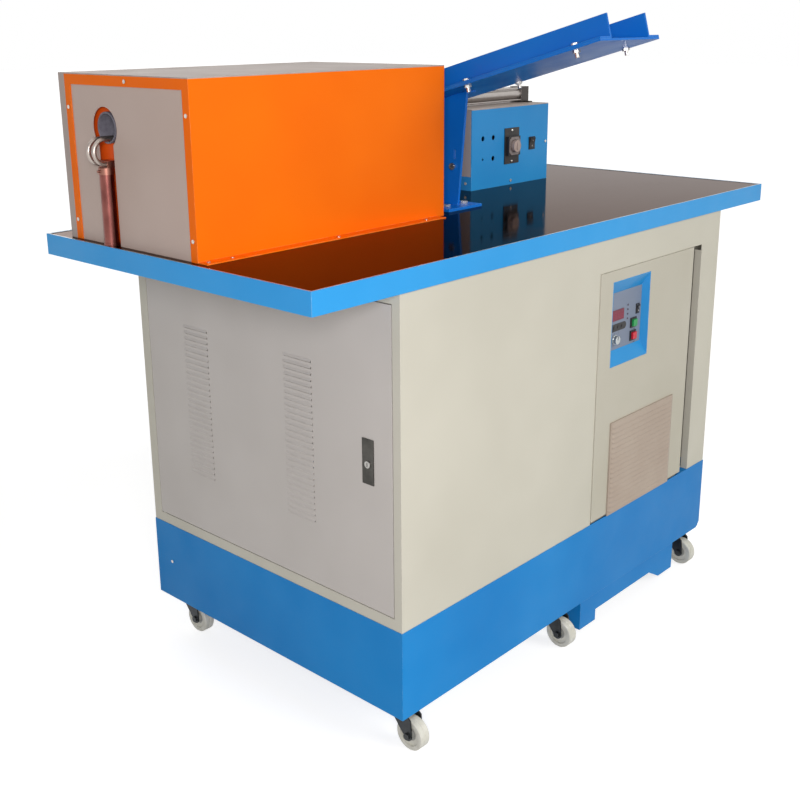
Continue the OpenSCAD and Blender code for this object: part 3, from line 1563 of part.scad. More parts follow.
base_skirt();
floor_pan();
unit_plinth();
caster_plates();
caster_fork(caster_xs[0], caster_ys[0]);  // caster_fork_1
caster_fork(caster_xs[1], caster_ys[0]);  // caster_fork_2
caster_fork(caster_xs[2], caster_ys[0]);  // caster_fork_3
caster_fork(caster_xs[0], caster_ys[1]);  // caster_fork_4
caster_fork(caster_xs[1], caster_ys[1]);  // caster_fork_5
caster_fork(caster_xs[2], caster_ys[1]);  // caster_fork_6
caster_wheel(caster_xs[0], caster_ys[0]);  // caster_wheel_1
caster_wheel(caster_xs[1], caster_ys[0]);  // caster_wheel_2
caster_wheel(caster_xs[2], caster_ys[0]);  // caster_wheel_3
caster_wheel(caster_xs[0], caster_ys[1]);  // caster_wheel_4
caster_wheel(caster_xs[1], caster_ys[1]);  // caster_wheel_5
caster_wheel(caster_xs[2], caster_ys[1]);  // caster_wheel_6
cabinet_shell();
side_door();
hinge_pins();
door_lock();
lock_cam();
rear_fittings();
table_frame();
table_deck();
unit_housing();
panel_recess();
control_plate();
display_window();
panel_bezels();
power_rocker();
start_button();
stop_button();
level_knob();
indicator_leds();
grill();
furnace_case();
case_cover();
end_panels();
coil();
coil_lining();
coil_mounts();
rail_tubes();
riser_tube();
riser_fitting();
transformer();
busbars();
capacitors();
feed_upright();
tray_plate();
tray_angles();
tray_bolts();
feed_trough();
control_box();
control_cover();
timer_body();
timer_knob();
feed_rocker();
air_cylinder();
piston_rod();
sheet_screws();
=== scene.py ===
"""Induction heating machine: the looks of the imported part, in metres, in the part's own frame."""

import math

import bmesh
import bpy
from mathutils import Matrix, Vector


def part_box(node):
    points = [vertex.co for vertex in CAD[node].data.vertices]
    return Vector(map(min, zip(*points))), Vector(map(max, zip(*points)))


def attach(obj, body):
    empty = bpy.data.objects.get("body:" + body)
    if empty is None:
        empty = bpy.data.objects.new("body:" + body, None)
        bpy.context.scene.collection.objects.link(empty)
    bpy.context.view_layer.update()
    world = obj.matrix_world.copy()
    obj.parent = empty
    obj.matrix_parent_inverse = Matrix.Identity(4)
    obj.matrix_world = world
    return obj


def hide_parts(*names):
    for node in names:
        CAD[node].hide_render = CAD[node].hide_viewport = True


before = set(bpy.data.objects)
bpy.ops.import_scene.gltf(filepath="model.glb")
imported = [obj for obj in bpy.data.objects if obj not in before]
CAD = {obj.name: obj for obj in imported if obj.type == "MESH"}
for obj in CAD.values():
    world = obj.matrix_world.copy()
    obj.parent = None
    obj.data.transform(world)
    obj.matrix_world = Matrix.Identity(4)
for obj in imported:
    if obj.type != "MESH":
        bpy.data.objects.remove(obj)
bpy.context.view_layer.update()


def node_centre(node):
    low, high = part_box(node)
    return (low + high) / 2


# the camera fitted to the photograph
CAMERA_AT = (-1.8523, -1.5639, 1.3121)
CAMERA_AZIMUTH = math.radians(-47.238)
CAMERA_ELEVATION = math.radians(16.141)
CAMERA_ROLL = math.radians(-0.460)
SENSOR = 36.0
LENS = 50.25
SHIFT = (0.0036, -0.0679)


def add_camera():
    az, el = CAMERA_AZIMUTH, CAMERA_ELEVATION
    back = Vector((math.sin(az) * math.cos(el), -math.cos(az) * math.cos(el), math.sin(el)))
    right = (-back).cross(Vector((0, 0, 1))).normalized()
    up = right.cross(-back)
    cos, sin = math.cos(CAMERA_ROLL), math.sin(CAMERA_ROLL)
    right, up = cos * right + sin * up, cos * up - sin * right
    data = bpy.data.cameras.new("camera")
    data.sensor_width, data.lens = SENSOR, LENS
    data.shift_x, data.shift_y = SHIFT
    camera = bpy.data.objects.new("camera", data)
    turn = Matrix((right, up, back)).transposed().to_4x4()
    camera.matrix_world = Matrix.Translation(Vector(CAMERA_AT)) @ turn
    bpy.context.scene.collection.objects.link(camera)
    bpy.context.scene.camera = camera


add_camera()
bpy.context.scene.view_settings.view_transform = "Standard"


# ---------------------------------------------------------------- materials


def srgb(red, green, blue):
    """A colour in sRGB values, 0 to 255, as the shader wants it."""
    shares = [c / 255 for c in (red, green, blue)]
    return [((c + 0.055) / 1.055) ** 2.4 if c > 0.04 else c / 12.92 for c in shares] + [1.0]


# how edges are found: rays per point, and how far the normal turns on a flat and at an edge
EDGE_SAMPLES = 4
TURN_FLAT, TURN_EDGE = 0.99, 0.75


class Finish:
    """A material and its node tree, with short ways to add the nodes that every finish here uses."""

    def __init__(self, name):
        self.material = bpy.data.materials.new(name)
        self.material.use_nodes = True
        self.nodes = self.material.node_tree.nodes
        self.links = self.material.node_tree.links
        self.shader = self.nodes["Principled BSDF"]
        self.place = self.nodes.new("ShaderNodeTexCoord").outputs["Object"]

    def set(self, **sockets):
        for name, value in sockets.items():
            self.shader.inputs[name.replace("_", " ")].default_value = value

    def join(self, source, target):
        self.links.new(source, target)

    def stretched(self, stretch):
        node = self.nodes.new("ShaderNodeMapping")
        node.inputs["Scale"].default_value = stretch
        self.join(self.place, node.inputs["Vector"])
        return node.outputs["Vector"]

    def noise(self, scale, detail=2.0, roughness=0.5, stretch=None):
        node = self.nodes.new("ShaderNodeTexNoise")
        node.inputs["Scale"].default_value = scale
        node.inputs["Detail"].default_value = detail
        node.inputs["Roughness"].default_value = roughness
        self.join(self.stretched(stretch) if stretch else self.place, node.inputs["Vector"])
        return node.outputs["Fac"]

    def along(self, axis):
        """The place along one axis of the frame, in metres."""
        node = self.nodes.new("ShaderNodeSeparateXYZ")
        self.join(self.place, node.inputs["Vector"])
        return node.outputs[axis]

    def from_axle(self, centre):
        """The distance from an axle along X through a point."""
        offset = self.nodes.new("ShaderNodeVectorMath")
        offset.operation = "SUBTRACT"
        self.join(self.place, offset.inputs[0])
        offset.inputs[1].default_value = centre
        flat = self.nodes.new("ShaderNodeVectorMath")
        flat.operation = "MULTIPLY"
        self.join(offset.outputs["Vector"], flat.inputs[0])
        flat.inputs[1].default_value = (0, 1, 1)
        length = self.nodes.new("ShaderNodeVectorMath")
        length.operation = "LENGTH"
        self.join(flat.outputs["Vector"], length.inputs[0])
        return length.outputs["Value"]

    def span(self, value, low, high, to_low=0.0, to_high=1.0):
        node = self.nodes.new("ShaderNodeMapRange")
        node.inputs["From Min"].default_value = low
        node.inputs["From Max"].default_value = high
        node.inputs["To Min"].default_value = to_low
        node.inputs["To Max"].default_value = to_high
        self.join(value, node.inputs["Value"])
        return node.outputs["Result"]

    def maths(self, operation, a, b):
        node = self.nodes.new("ShaderNodeMath")
        node.operation = operation
        for socket, value in zip(node.inputs, (a, b)):
            if isinstance(value, (int, float)):
                socket.default_value = value
            else:
                self.join(value, socket)
        return node.outputs["Value"]

    def mix(self, fac, a, b):
        node = self.nodes.new("ShaderNodeMix")
        node.data_type = "RGBA"
        self.join(fac, node.inputs[0])
        for socket, value in ((node.inputs[6], a), (node.inputs[7], b)):
            if isinstance(value, (list, tuple)):
                socket.default_value = value
            else:
                self.join(value, socket)
        return node.outputs[2]

    def edges(self, radius):
        """How sharply the surface turns, from 0 on a flat to 1 at an edge, and the rounded normal."""
        bevel = self.nodes.new("ShaderNodeBevel")
        bevel.samples = EDGE_SAMPLES
        bevel.inputs["Radius"].default_value = radius
        geometry = self.nodes.new("ShaderNodeNewGeometry")
        dot = self.nodes.new("ShaderNodeVectorMath")
        dot.operation = "DOT_PRODUCT"
        self.join(bevel.outputs["Normal"], dot.inputs[0])
        self.join(geometry.outputs["Normal"], dot.inputs[1])
        return self.span(dot.outputs["Value"], TURN_FLAT, TURN_EDGE), bevel.outputs["Normal"]

    def bump(self, height, distance, normal=None, strength=1.0):
        node = self.nodes.new("ShaderNodeBump")
        node.inputs["Distance"].default_value = distance
        node.inputs["Strength"].default_value = strength
        self.join(height, node.inputs["Height"])
        if normal is not None:
            self.join(normal, node.inputs["Normal"])
        self.join(node.outputs["Normal"], self.shader.inputs["Normal"])

    def colour(self, socket):
        self.join(socket, self.shader.inputs["Base Color"])

    def rough(self, socket):
        self.join(socket, self.shader.inputs["Roughness"])


def paint(name, colour, deep, rubbed, roughness, peel=0.00006, drift=2.2, gloss=0.3):
    """Stoved paint on sheet: a slow drift of tone, dust, orange peel and edges rubbed to the undercoat."""
    f = Finish(name)
    edge, normal = f.edges(0.0012)
    tone = f.mix(f.span(f.noise(drift, 3, 0.6), 0.35, 0.68), colour, deep)
    speck = f.span(f.noise(420, 2, 0.7), 0.66, 0.78, 0, 0.35)
    tone = f.mix(speck, tone, deep)
    worn = f.maths("MULTIPLY", edge, f.span(f.noise(38, 4, 0.7), 0.42, 0.62))
    f.colour(f.mix(worn, tone, rubbed))
    f.rough(f.span(f.noise(9, 4, 0.65), 0.3, 0.7, roughness - 0.06, roughness + 0.08))
    f.bump(f.noise(650, 2, 0.5), peel, normal)
    f.set(Specular_IOR_Level=gloss)
    return f.material


def metal(name, colour, dull, roughness, stretch=(1, 1, 1), scale=90, marks=0.00003):
    """Bare metal: drawn or ground lines along one way, and dull patches."""
    f = Finish(name)
    normal = f.edges(0.0006)[1]
    lines = f.noise(scale, 4, 0.7, stretch)
    tone = f.mix(f.span(f.noise(14, 4, 0.6), 0.3, 0.75), colour, dull)
    f.colour(f.mix(f.span(lines, 0.5, 0.8, 0, 0.4), tone, dull))
    f.rough(f.span(lines, 0.3, 0.7, roughness - 0.08, roughness + 0.12))
    f.bump(lines, marks, normal)
    f.set(Metallic=1.0)
    return f.material


def plastic(name, colour, worn, roughness, grain=900, depth=0.00004):
    """Moulded plastic: a fine grain and slightly worn edges."""
    f = Finish(name)
    edge, normal = f.edges(0.0005)
    tone = f.mix(f.span(f.noise(45, 3, 0.6), 0.35, 0.7, 0, 0.5), colour, worn)
    f.colour(f.mix(f.maths("MULTIPLY", edge, 0.5), tone, worn))
    f.rough(f.span(f.noise(60, 3, 0.6), 0.3, 0.7, roughness - 0.05, roughness + 0.08))
    f.bump(f.noise(grain, 2, 0.5), depth, normal)
    return f.material


def polished_deck(name):
    """The table's polished dark plate, which mirrors what stands on it, with dust and wiping marks."""
    f = Finish(name)
    tone = f.mix(f.span(f.noise(1.6, 3, 0.6), 0.35, 0.7), srgb(122, 113, 109), srgb(130, 121, 117))
    dust = f.span(f.noise(260, 3, 0.8), 0.64, 0.8, 0, 0.2)
    f.colour(f.mix(dust, tone, srgb(160, 152, 146)))
    wipe = f.noise(5, 5, 0.7, (1, 4, 1))
    f.rough(f.span(wipe, 0.35, 0.7, 0.05, 0.13))
    f.bump(f.noise(3.5, 3, 0.5), 0.0006, None, 0.12)
    f.set(Metallic=1.0, Specular_Tint=srgb(176, 166, 162))
    return f.material


# the radius at which a wheel's hub ends, and the soft step there
HUB_RADIUS, HUB_BLEND = 0.013, 0.0005


def wheel_nylon(name, centre):
    """A caster's wheel: a pale moulded tread and web round a grey hub, scuffed in patches."""
    f = Finish(name)
    reach = f.from_axle(centre)
    normal = f.edges(0.0008)[1]
    tone = f.mix(f.span(f.noise(60, 3, 0.6), 0.35, 0.7, 0, 0.6), srgb(214, 213, 202), srgb(188, 186, 172))
    tone = f.mix(f.span(f.noise(25, 5, 0.8), 0.58, 0.7, 0, 0.5), tone, srgb(150, 146, 134))
    f.colour(f.mix(f.span(reach, HUB_RADIUS + HUB_BLEND, HUB_RADIUS - HUB_BLEND), tone, srgb(150, 151, 146)))
    f.rough(f.span(f.noise(60, 3, 0.6), 0.3, 0.7, 0.36, 0.5))
    f.bump(f.noise(500, 2, 0.5), 0.0001, normal)
    return f.material


# the length of the air cylinder's two heads, and the soft step to the barrel
LEFT_HEAD, RIGHT_HEAD, HEAD_BLEND = 0.02, 0.03, 0.0002


def cylinder_alloy(name, x_from, x_to):
    """The air cylinder: a drawn alloy barrel between darker cast heads."""
    f = Finish(name)
    normal = f.edges(0.0008)[1]
    lines = f.noise(60, 4, 0.7, (1, 40, 40))
    barrel = f.mix(f.span(lines, 0.4, 0.75, 0, 0.7), srgb(182, 176, 172), srgb(136, 130, 126))
    x = f.along("X")
    left_end, right_start = x_from + LEFT_HEAD, x_to - RIGHT_HEAD
    left = f.span(x, left_end + HEAD_BLEND, left_end - HEAD_BLEND)
    right = f.span(x, right_start - HEAD_BLEND, right_start + HEAD_BLEND)
    in_head = f.maths("MAXIMUM", left, right)
    f.colour(f.mix(in_head, barrel, srgb(74, 69, 66)))
    f.rough(f.span(lines, 0.3, 0.7, 0.26, 0.42))
    f.bump(lines, 0.00003, normal)
    f.set(Metallic=0.85)
    return f.material


# the barbs begin this far from the gland's middle
BARB_FROM, BARB_BLEND = 0.035, 0.001


def fitting_mix(name):
    """The rear fittings: a black cable gland in the middle and brass hose barbs beside it."""
    f = Finish(name)
    normal = f.edges(0.0006)[1]
    barb = f.span(f.maths("ABSOLUTE", f.along("X"), 0), BARB_FROM, BARB_FROM + BARB_BLEND)
    brass = f.mix(f.span(f.noise(40, 4, 0.6), 0.35, 0.7), srgb(206, 170, 96), srgb(160, 122, 60))
    f.colour(f.mix(barb, srgb(40, 40, 42), brass))
    f.join(barb, f.shader.inputs["Metallic"])
    f.rough(f.span(f.noise(120, 3, 0.6), 0.3, 0.7, 0.3, 0.45))
    f.bump(f.noise(500, 2, 0.5), 0.00004, normal)
    return f.material


def louvred(name, colour, deep, rubbed):
    """Paint of the pressed grill, rubbed lighter along its louvres."""
    f = Finish(name)
    edge, normal = f.edges(0.001)
    tone = f.mix(f.span(f.noise(7, 4, 0.6), 0.35, 0.7), colour, deep)
    f.colour(f.mix(f.maths("MULTIPLY", edge, 0.35), tone, rubbed))
    f.rough(f.span(f.noise(20, 4, 0.65), 0.3, 0.7, 0.42, 0.58))
    f.bump(f.noise(700, 2, 0.5), 0.00006, normal)
    return f.material


def refractory(name, colour, deep):
    """Rammed ceramic: grainy, pitted and scorched in patches."""
    f = Finish(name)
    normal = f.edges(0.0008)[1]
    tone = f.mix(f.span(f.noise(30, 5, 0.7), 0.3, 0.7), colour, deep)
    grain = f.noise(500, 4, 0.7)
    f.colour(f.mix(f.span(grain, 0.55, 0.75, 0, 0.6), tone, deep))
    f.set(Roughness=0.9)
    f.bump(grain, 0.0003, normal)
    return f.material


FINISHES = {
    "rim_blue": paint("rim_blue", srgb(48, 158, 226), srgb(38, 148, 216), srgb(168, 208, 232), 0.38),
    "skirt_blue": paint("skirt_blue", srgb(8, 132, 204), srgb(4, 118, 190), srgb(120, 178, 222), 0.42,
                        gloss=0.2),
    "box_blue": paint("box_blue", srgb(36, 144, 208), srgb(28, 132, 198), srgb(150, 195, 225), 0.36),
    # the deep blue of the upright and the tray: partly its own colour, partly painted light, made lighter
    # for the upright standing in the tray's shade
    "deep_blue_paint": paint("deep_blue_paint", srgb(14, 118, 210), srgb(8, 100, 196),
                             srgb(96, 160, 220), 0.36, gloss=0.2),
    "beige_paint": paint("beige_paint", srgb(201, 198, 184), srgb(193, 190, 176), srgb(226, 222, 210), 0.46),
    # the housing's paint is the cabinet's beige made darker: painted shade for the light falling off towards
    # the right
    "unit_beige_painted_shade": paint("unit_beige_painted_shade", srgb(190, 186, 172), srgb(182, 178, 162), srgb(220, 216, 204), 0.46),
    # the door's paint is the cabinet's beige made cooler and pinker: painted light, for the cooler light on
    # this side
    "door_paint_shade_tint": paint("door_paint_shade_tint", srgb(198, 193, 187), srgb(190, 185, 179), srgb(228, 224, 220), 0.44),
    "panel_grey": paint("panel_grey", srgb(192, 174, 164), srgb(182, 163, 152), srgb(214, 205, 196), 0.42),
    "cover_grey": paint("cover_grey", srgb(180, 168, 162), srgb(168, 156, 150), srgb(210, 202, 196), 0.52,
                        gloss=0.1),
    "orange_paint": paint("orange_paint", srgb(243, 113, 4), srgb(237, 104, 3), srgb(250, 170, 110), 0.44,
                          0.00002, gloss=0.12),
    # the coil mounts' orange is made lighter than it is: painted light, since the mounts stand in shade
    # inside the case
    "orange_board": paint("orange_board", srgb(244, 98, 20), srgb(220, 78, 14), srgb(240, 150, 90), 0.5),
    "steel": metal("steel", srgb(196, 194, 190), srgb(150, 148, 145), 0.34, (1, 30, 30)),
    "screw_steel": metal("screw_steel", srgb(222, 220, 214), srgb(176, 172, 166), 0.26, (1, 1, 1), 240),
    "stainless": metal("stainless", srgb(190, 180, 172), srgb(128, 116, 110), 0.32, (1, 22, 22), 60),
    "black_steel": metal("black_steel", srgb(70, 72, 74), srgb(44, 46, 48), 0.4, (1, 1, 6)),
    "lock_metal": metal("lock_metal", srgb(98, 96, 92), srgb(58, 57, 54), 0.36, (1, 1, 8)),
    "fitting_brown": metal("fitting_brown", srgb(176, 124, 108), srgb(116, 78, 70), 0.38, (1, 1, 12), 120),
    "brown_tube": metal("brown_tube", srgb(150, 94, 86), srgb(96, 52, 50), 0.3, (40, 40, 1), 30),
    "dark_glass": polished_deck("dark_glass"),
    "control_grey": paint("control_grey", srgb(124, 134, 152), srgb(116, 126, 144), srgb(160, 170, 184), 0.5,
                          0.00002),
    "display_red": plastic("display_red", srgb(118, 8, 46), srgb(88, 4, 32), 0.4),
    "digit_off": plastic("digit_off", srgb(148, 26, 66), srgb(120, 18, 50), 0.4),
    "black_plastic": plastic("black_plastic", srgb(22, 20, 22), srgb(50, 48, 48), 0.5),
    "green_cap": plastic("green_cap", srgb(30, 150, 76), srgb(18, 112, 52), 0.34),
    "red_cap": plastic("red_cap", srgb(200, 20, 44), srgb(148, 12, 30), 0.34),
    "led_dark": plastic("led_dark", srgb(84, 74, 92), srgb(60, 50, 66), 0.24),
    "knob_silver": metal("knob_silver", srgb(200, 204, 204), srgb(150, 156, 158), 0.34, (1, 30, 1), 80),
    # the grill's paint is made darker than its own colour: painted shade for the light falling off towards
    # the right
    "grill_paint": louvred("grill_paint", srgb(170, 156, 142), srgb(162, 146, 132), srgb(190, 178, 166)),
    "copper": metal("copper", srgb(190, 110, 80), srgb(130, 70, 52), 0.35, (1, 20, 20)),
    "refractory": refractory("refractory", srgb(132, 130, 140), srgb(92, 90, 100)),
    "capacitor_can": metal("capacitor_can", srgb(178, 180, 180), srgb(140, 142, 144), 0.45, (1, 1, 30)),
    "cylinder_alloy": cylinder_alloy("cylinder_alloy", *(end.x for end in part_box("air_cylinder"))),
    "rear_fitting": fitting_mix("rear_fitting"),
    "dial": plastic("dial", srgb(170, 152, 144), srgb(140, 124, 118), 0.34),
    "dial_face": plastic("dial_face", srgb(122, 112, 110), srgb(100, 92, 90), 0.26),
    "print_dark": plastic("print_dark", srgb(52, 56, 70), srgb(70, 74, 88), 0.6),
    "print_light": plastic("print_light", srgb(226, 222, 214), srgb(200, 196, 188), 0.6),
    "deck_trim": metal("deck_trim", srgb(214, 212, 208), srgb(170, 168, 164), 0.38, (1, 1, 1), 60),
}
for wheel in (name for name in CAD if name.startswith("caster_wheel")):
    FINISHES[wheel] = wheel_nylon(wheel, node_centre(wheel))

NODE_FINISH = {
    "base_skirt": "skirt_blue", "floor_pan": "skirt_blue", "unit_plinth": "skirt_blue",
    "caster_plates": "screw_steel", "cabinet_shell": "beige_paint", "side_door": "door_paint_shade_tint",
    "hinge_pins": "steel", "door_lock": "lock_metal", "lock_cam": "steel", "rear_fittings": "rear_fitting",
    "table_frame": "rim_blue", "table_deck": "dark_glass", "unit_housing": "unit_beige_painted_shade",
    "panel_recess": "box_blue", "control_plate": "control_grey", "display_window": "display_red",
    "panel_bezels": "black_plastic", "power_rocker": "black_plastic", "start_button": "green_cap",
    "stop_button": "red_cap", "level_knob": "knob_silver", "indicator_leds": "led_dark",
    "grill": "grill_paint", "furnace_case": "orange_paint", "case_cover": "cover_grey",
    "end_panels": "panel_grey", "coil": "copper", "coil_lining": "refractory", "coil_mounts": "orange_board",
    "rail_tubes": "stainless", "riser_tube": "brown_tube", "riser_fitting": "fitting_brown",
    "transformer": "black_steel", "busbars": "copper", "capacitors": "capacitor_can",
    "feed_upright": "deep_blue_paint", "tray_plate": "deep_blue_paint", "tray_angles": "deep_blue_paint",
    "tray_bolts": "screw_steel", "feed_trough": "steel", "control_box": "box_blue",
    "control_cover": "cover_grey", "timer_body": "black_plastic", "timer_knob": "dial",
    "feed_rocker": "black_plastic", "air_cylinder": "cylinder_alloy", "piston_rod": "steel",
    "sheet_screws": "screw_steel",
}
NODE_FINISH.update({name: "black_steel" for name in CAD if name.startswith("caster_fork")})
NODE_FINISH.update({name: name for name in CAD if name.startswith("caster_wheel")})


def dress(obj, finish):
    obj.data.materials.clear()
    obj.data.materials.append(FINISHES[finish])


for node_name, finish_name in NODE_FINISH.items():
    dress(CAD[node_name], finish_name)


# ---------------------------------------------------------------- light, floor and background


def add_sun(name, towards, strength, spread, colour=(1, 1, 1)):
    data = bpy.data.lights.new(name, "SUN")
    data.energy, data.color = strength, colour
    data.angle = math.radians(spread)
    sun = bpy.data.objects.new(name, data)
    sun.rotation_euler = Vector(towards).to_track_quat("Z", "Y").to_euler()
    bpy.context.scene.collection.objects.link(sun)


def seen_directly(nodes, links):
    """1 for camera, glossy and transmission rays, and 0 for those that only carry light."""
    path = nodes.new("ShaderNodeLightPath")
    first = nodes.new("ShaderNodeMath")
    second = nodes.new("ShaderNodeMath")
    first.operation = second.operation = "MAXIMUM"
    links.new(path.outputs["Is Camera Ray"], first.inputs[0])
    links.new(path.outputs["Is Glossy Ray"], first.inputs[1])
    links.new(first.outputs[0], second.inputs[0])
    links.new(path.outputs["Is Transmission Ray"], second.inputs[1])
    return second.outputs[0]


SKY_LIGHT = 0.27


def add_world():
    world = bpy.data.worlds.new("studio")
    bpy.context.scene.world = world
    world.use_nodes = True
    nodes, links = world.node_tree.nodes, world.node_tree.links
    background = nodes["Background"]
    background.inputs["Color"].default_value = (1, 1, 1, 1)
    strength = nodes.new("ShaderNodeMapRange")
    strength.inputs["To Min"].default_value = SKY_LIGHT
    strength.inputs["To Max"].default_value = 1.0
    links.new(seen_directly(nodes, links), strength.inputs["Value"])
    links.new(strength.outputs["Result"], background.inputs["Strength"])


FLOOR_HALF = 30.0
FLOOR_GLOW = 0.72


def add_floor():
    mesh = bpy.data.meshes.new("floor")
    h = FLOOR_HALF
    mesh.from_pydata([(-h, -h, 0), (h, -h, 0), (h, h, 0), (-h, h, 0)], [], [(0, 1, 2, 3)])
    floor = bpy.data.objects.new("floor", mesh)
    bpy.context.scene.collection.objects.link(floor)
    f = Finish("floor")
    f.colour(f.mix(f.noise(0.8, 3), srgb(190, 190, 188), srgb(184, 184, 183)))
    f.set(Roughness=0.9, Emission_Color=(1, 1, 1, 1))
    glow = f.maths("MULTIPLY", seen_directly(f.nodes, f.links), FLOOR_GLOW)
    f.join(glow, f.shader.inputs["Emission Strength"])
    mesh.materials.append(f.material)


FLASH_AT = (-2.3, -2.1, 1.5)
FLASH_TOWARDS = (0.1, 0.0, 0.65)
FLASH_SIZE = 0.8
FLASH_POWER = 50.0
FLASH_COLOUR = (1.0, 0.965, 0.99)


def add_flash():
    """A soft box near the camera, which lights what the camera sees and falls off towards the far end."""
    data = bpy.data.lights.new("flash", "AREA")
    data.shape, data.size, data.energy, data.color = "SQUARE", FLASH_SIZE, FLASH_POWER, FLASH_COLOUR
    flash = bpy.data.objects.new("flash", data)
    away = Vector(FLASH_AT) - Vector(FLASH_TOWARDS)
    flash.matrix_world = Matrix.Translation(FLASH_AT) @ away.to_track_quat("Z", "Y").to_matrix().to_4x4()
    bpy.context.scene.collection.objects.link(flash)


add_flash()
add_sun("key", (0.25, -0.80, 0.50), 1.35, 30, (1.0, 0.985, 0.93))
add_sun("back", (0.35, 0.75, 0.55), 0.75, 50)
add_world()
add_floor()


# ---------------------------------------------------------------- pieces


def add_mesh(name, mesh, finish, body, smooth=None):
    """Links a new piece, gives it its finish and lets it ride on its body."""
    piece = bpy.data.objects.new(name, mesh)
    bpy.context.scene.collection.objects.link(piece)
    dress(piece, finish)
    if smooth is not None:
        for polygon in mesh.polygons:
            polygon.use_smooth = True
        mesh.set_sharp_from_angle(angle=math.radians(smooth))
    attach(piece, body)
    return piece


def new_mesh(name, bm):
    mesh = bpy.data.meshes.new(name)
    bmesh.ops.recalc_face_normals(bm, faces=bm.faces)
    bm.to_mesh(mesh)
    bm.free()
    return mesh


def add_prism(bm, centre, half, turn=0.0, tilt=0.0):
    """A bar about a centre, turned about Y and then tilted about X."""
    made = bmesh.ops.create_cube(bm, size=2.0)["verts"]
    place = Matrix.Rotation(tilt, 4, "X") @ Matrix.Rotation(turn, 4, "Y") @ Matrix.Diagonal((*half, 1.0))
    bmesh.ops.transform(bm, matrix=Matrix.Translation(centre) @ place, verts=made)


def add_ring(bm, centre, inner, outer, thick, steps, tilt=0.0):
    """A flat ring facing -Y; outer is a radius, or a function of the angle."""
    loops = []
    for y in (0.0, -thick):
        for which in ("inner", "outer"):
            loop = []
            for i in range(steps):
                angle = 2 * math.pi * i / steps
                radius = inner if which == "inner" else outer(angle) if callable(outer) else outer
                point = Vector((radius * math.sin(angle), y, radius * math.cos(angle)))
                loop.append(bm.verts.new(Vector(centre) + Matrix.Rotation(tilt, 3, "X") @ point))
            loops.append(loop)
    for a, b in ((0, 1), (1, 3), (3, 2), (2, 0)):
        for i in range(steps):
            j = (i + 1) % steps
            bm.faces.new((loops[a][i], loops[a][j], loops[b][j], loops[b][i]))


def add_lathe(bm, centre, profile, steps):
    """A turned form about an axis along Y, from pairs of radius and height towards -Y."""
    rings = []
    for radius, height in profile:
        ring = []
        for i in range(steps):
            angle = 2 * math.pi * i / steps
            point = Vector((radius * math.sin(angle), -height, radius * math.cos(angle)))
            ring.append(bm.verts.new(Vector(centre) + point))
        rings.append(ring)
    for a, b in zip(rings, rings[1:]):
        for i in range(steps):
            j = (i + 1) % steps
            bm.faces.new((a[i], a[j], b[j], b[i]))
    bm.faces.new(rings[0])
    bm.faces.new(rings[-1])


# the print's thickness above and below the surface
PRINT = 0.00012


def lettering(name, text, size, at, finish, body):
    """Printed figures or letters facing -Y, centred on a point of the surface."""
    data = bpy.data.curves.new(name, "FONT")
    data.body, data.size, data.extrude = text, size, PRINT
    data.align_x, data.align_y = "CENTER", "CENTER"
    data.resolution_u = 3
    source = bpy.data.objects.new(name + "_source", data)
    bpy.context.scene.collection.objects.link(source)
    bpy.context.view_layer.update()
    mesh = bpy.data.meshes.new_from_object(source.evaluated_get(bpy.context.evaluated_depsgraph_get()))
    bpy.data.objects.remove(source)
    mesh.transform(Matrix.Translation(at) @ Matrix.Rotation(math.radians(90), 4, "X"))
    return add_mesh(name, mesh, finish, body)


TICK_HALF_WIDTH = 0.00022
# the half lengths of long and short ticks, and how far the long ones reach out, as shares of a tick
LONG_SHARE, SHORT_SHARE, REACH_SHARE = 0.5, 0.35, 0.2
LAST_FIGURE = 10


def round_dial(centre, radius, angle):
    return Vector(centre) + Vector((radius * math.sin(angle), 0, radius * math.cos(angle)))


def dial_scale(name, centre, radius, tick, marks, span, figures_out, size):
    """The ticks of a dial, over an arc centred on its top, and its even figures outside them."""
    bm = bmesh.new()
    for i in range(marks):
        angle = math.radians(-span / 2 + span * i / (marks - 1))
        out = radius + (0.0 if i % 2 else tick * REACH_SHARE)
        half = tick * (SHORT_SHARE if i % 2 else LONG_SHARE)
        add_prism(bm, round_dial(centre, out, angle), (TICK_HALF_WIDTH, PRINT, half), turn=angle)
    add_mesh(name + "_marks", new_mesh(name + "_marks", bm), "print_dark", "machine")
    for i in range(0, LAST_FIGURE + 1, 2):
        angle = math.radians(-span / 2 + span * i / LAST_FIGURE)
        at = round_dial(centre, figures_out, angle)
        lettering(f"{name}_figure_{i}", str(i), size, at, "print_dark", "machine")


# the grill: pressed louvres with rounded ends in a thin frame
GRILL_ROWS = 18
GRILL_BORDER = 0.0045
LOUVRE_END = 0.009
LOUVRE_RISE = 0.0036
LOUVRE_BASE = 0.0032
# the louvre's section over one pitch: pairs of the share of the pitch and the share of the rise
LOUVRE_SECTION = ((0.0, 0.02), (0.10, 0.0), (0.16, 0.75), (0.24, 1.0), (0.42, 0.92), (0.62, 0.62),
                  (0.82, 0.28))
LOUVRE_END_SHARES = (0.0, 0.08, 0.2, 0.36, 0.56, 0.8, 1.0)
GRILL_SHARP = 50


def grill_columns(width):
    left = [GRILL_BORDER + share * LOUVRE_END for share in LOUVRE_END_SHARES]
    right = [width - x for x in reversed(left)]
    return [0.0] + left + [width / 2] + right + [width]


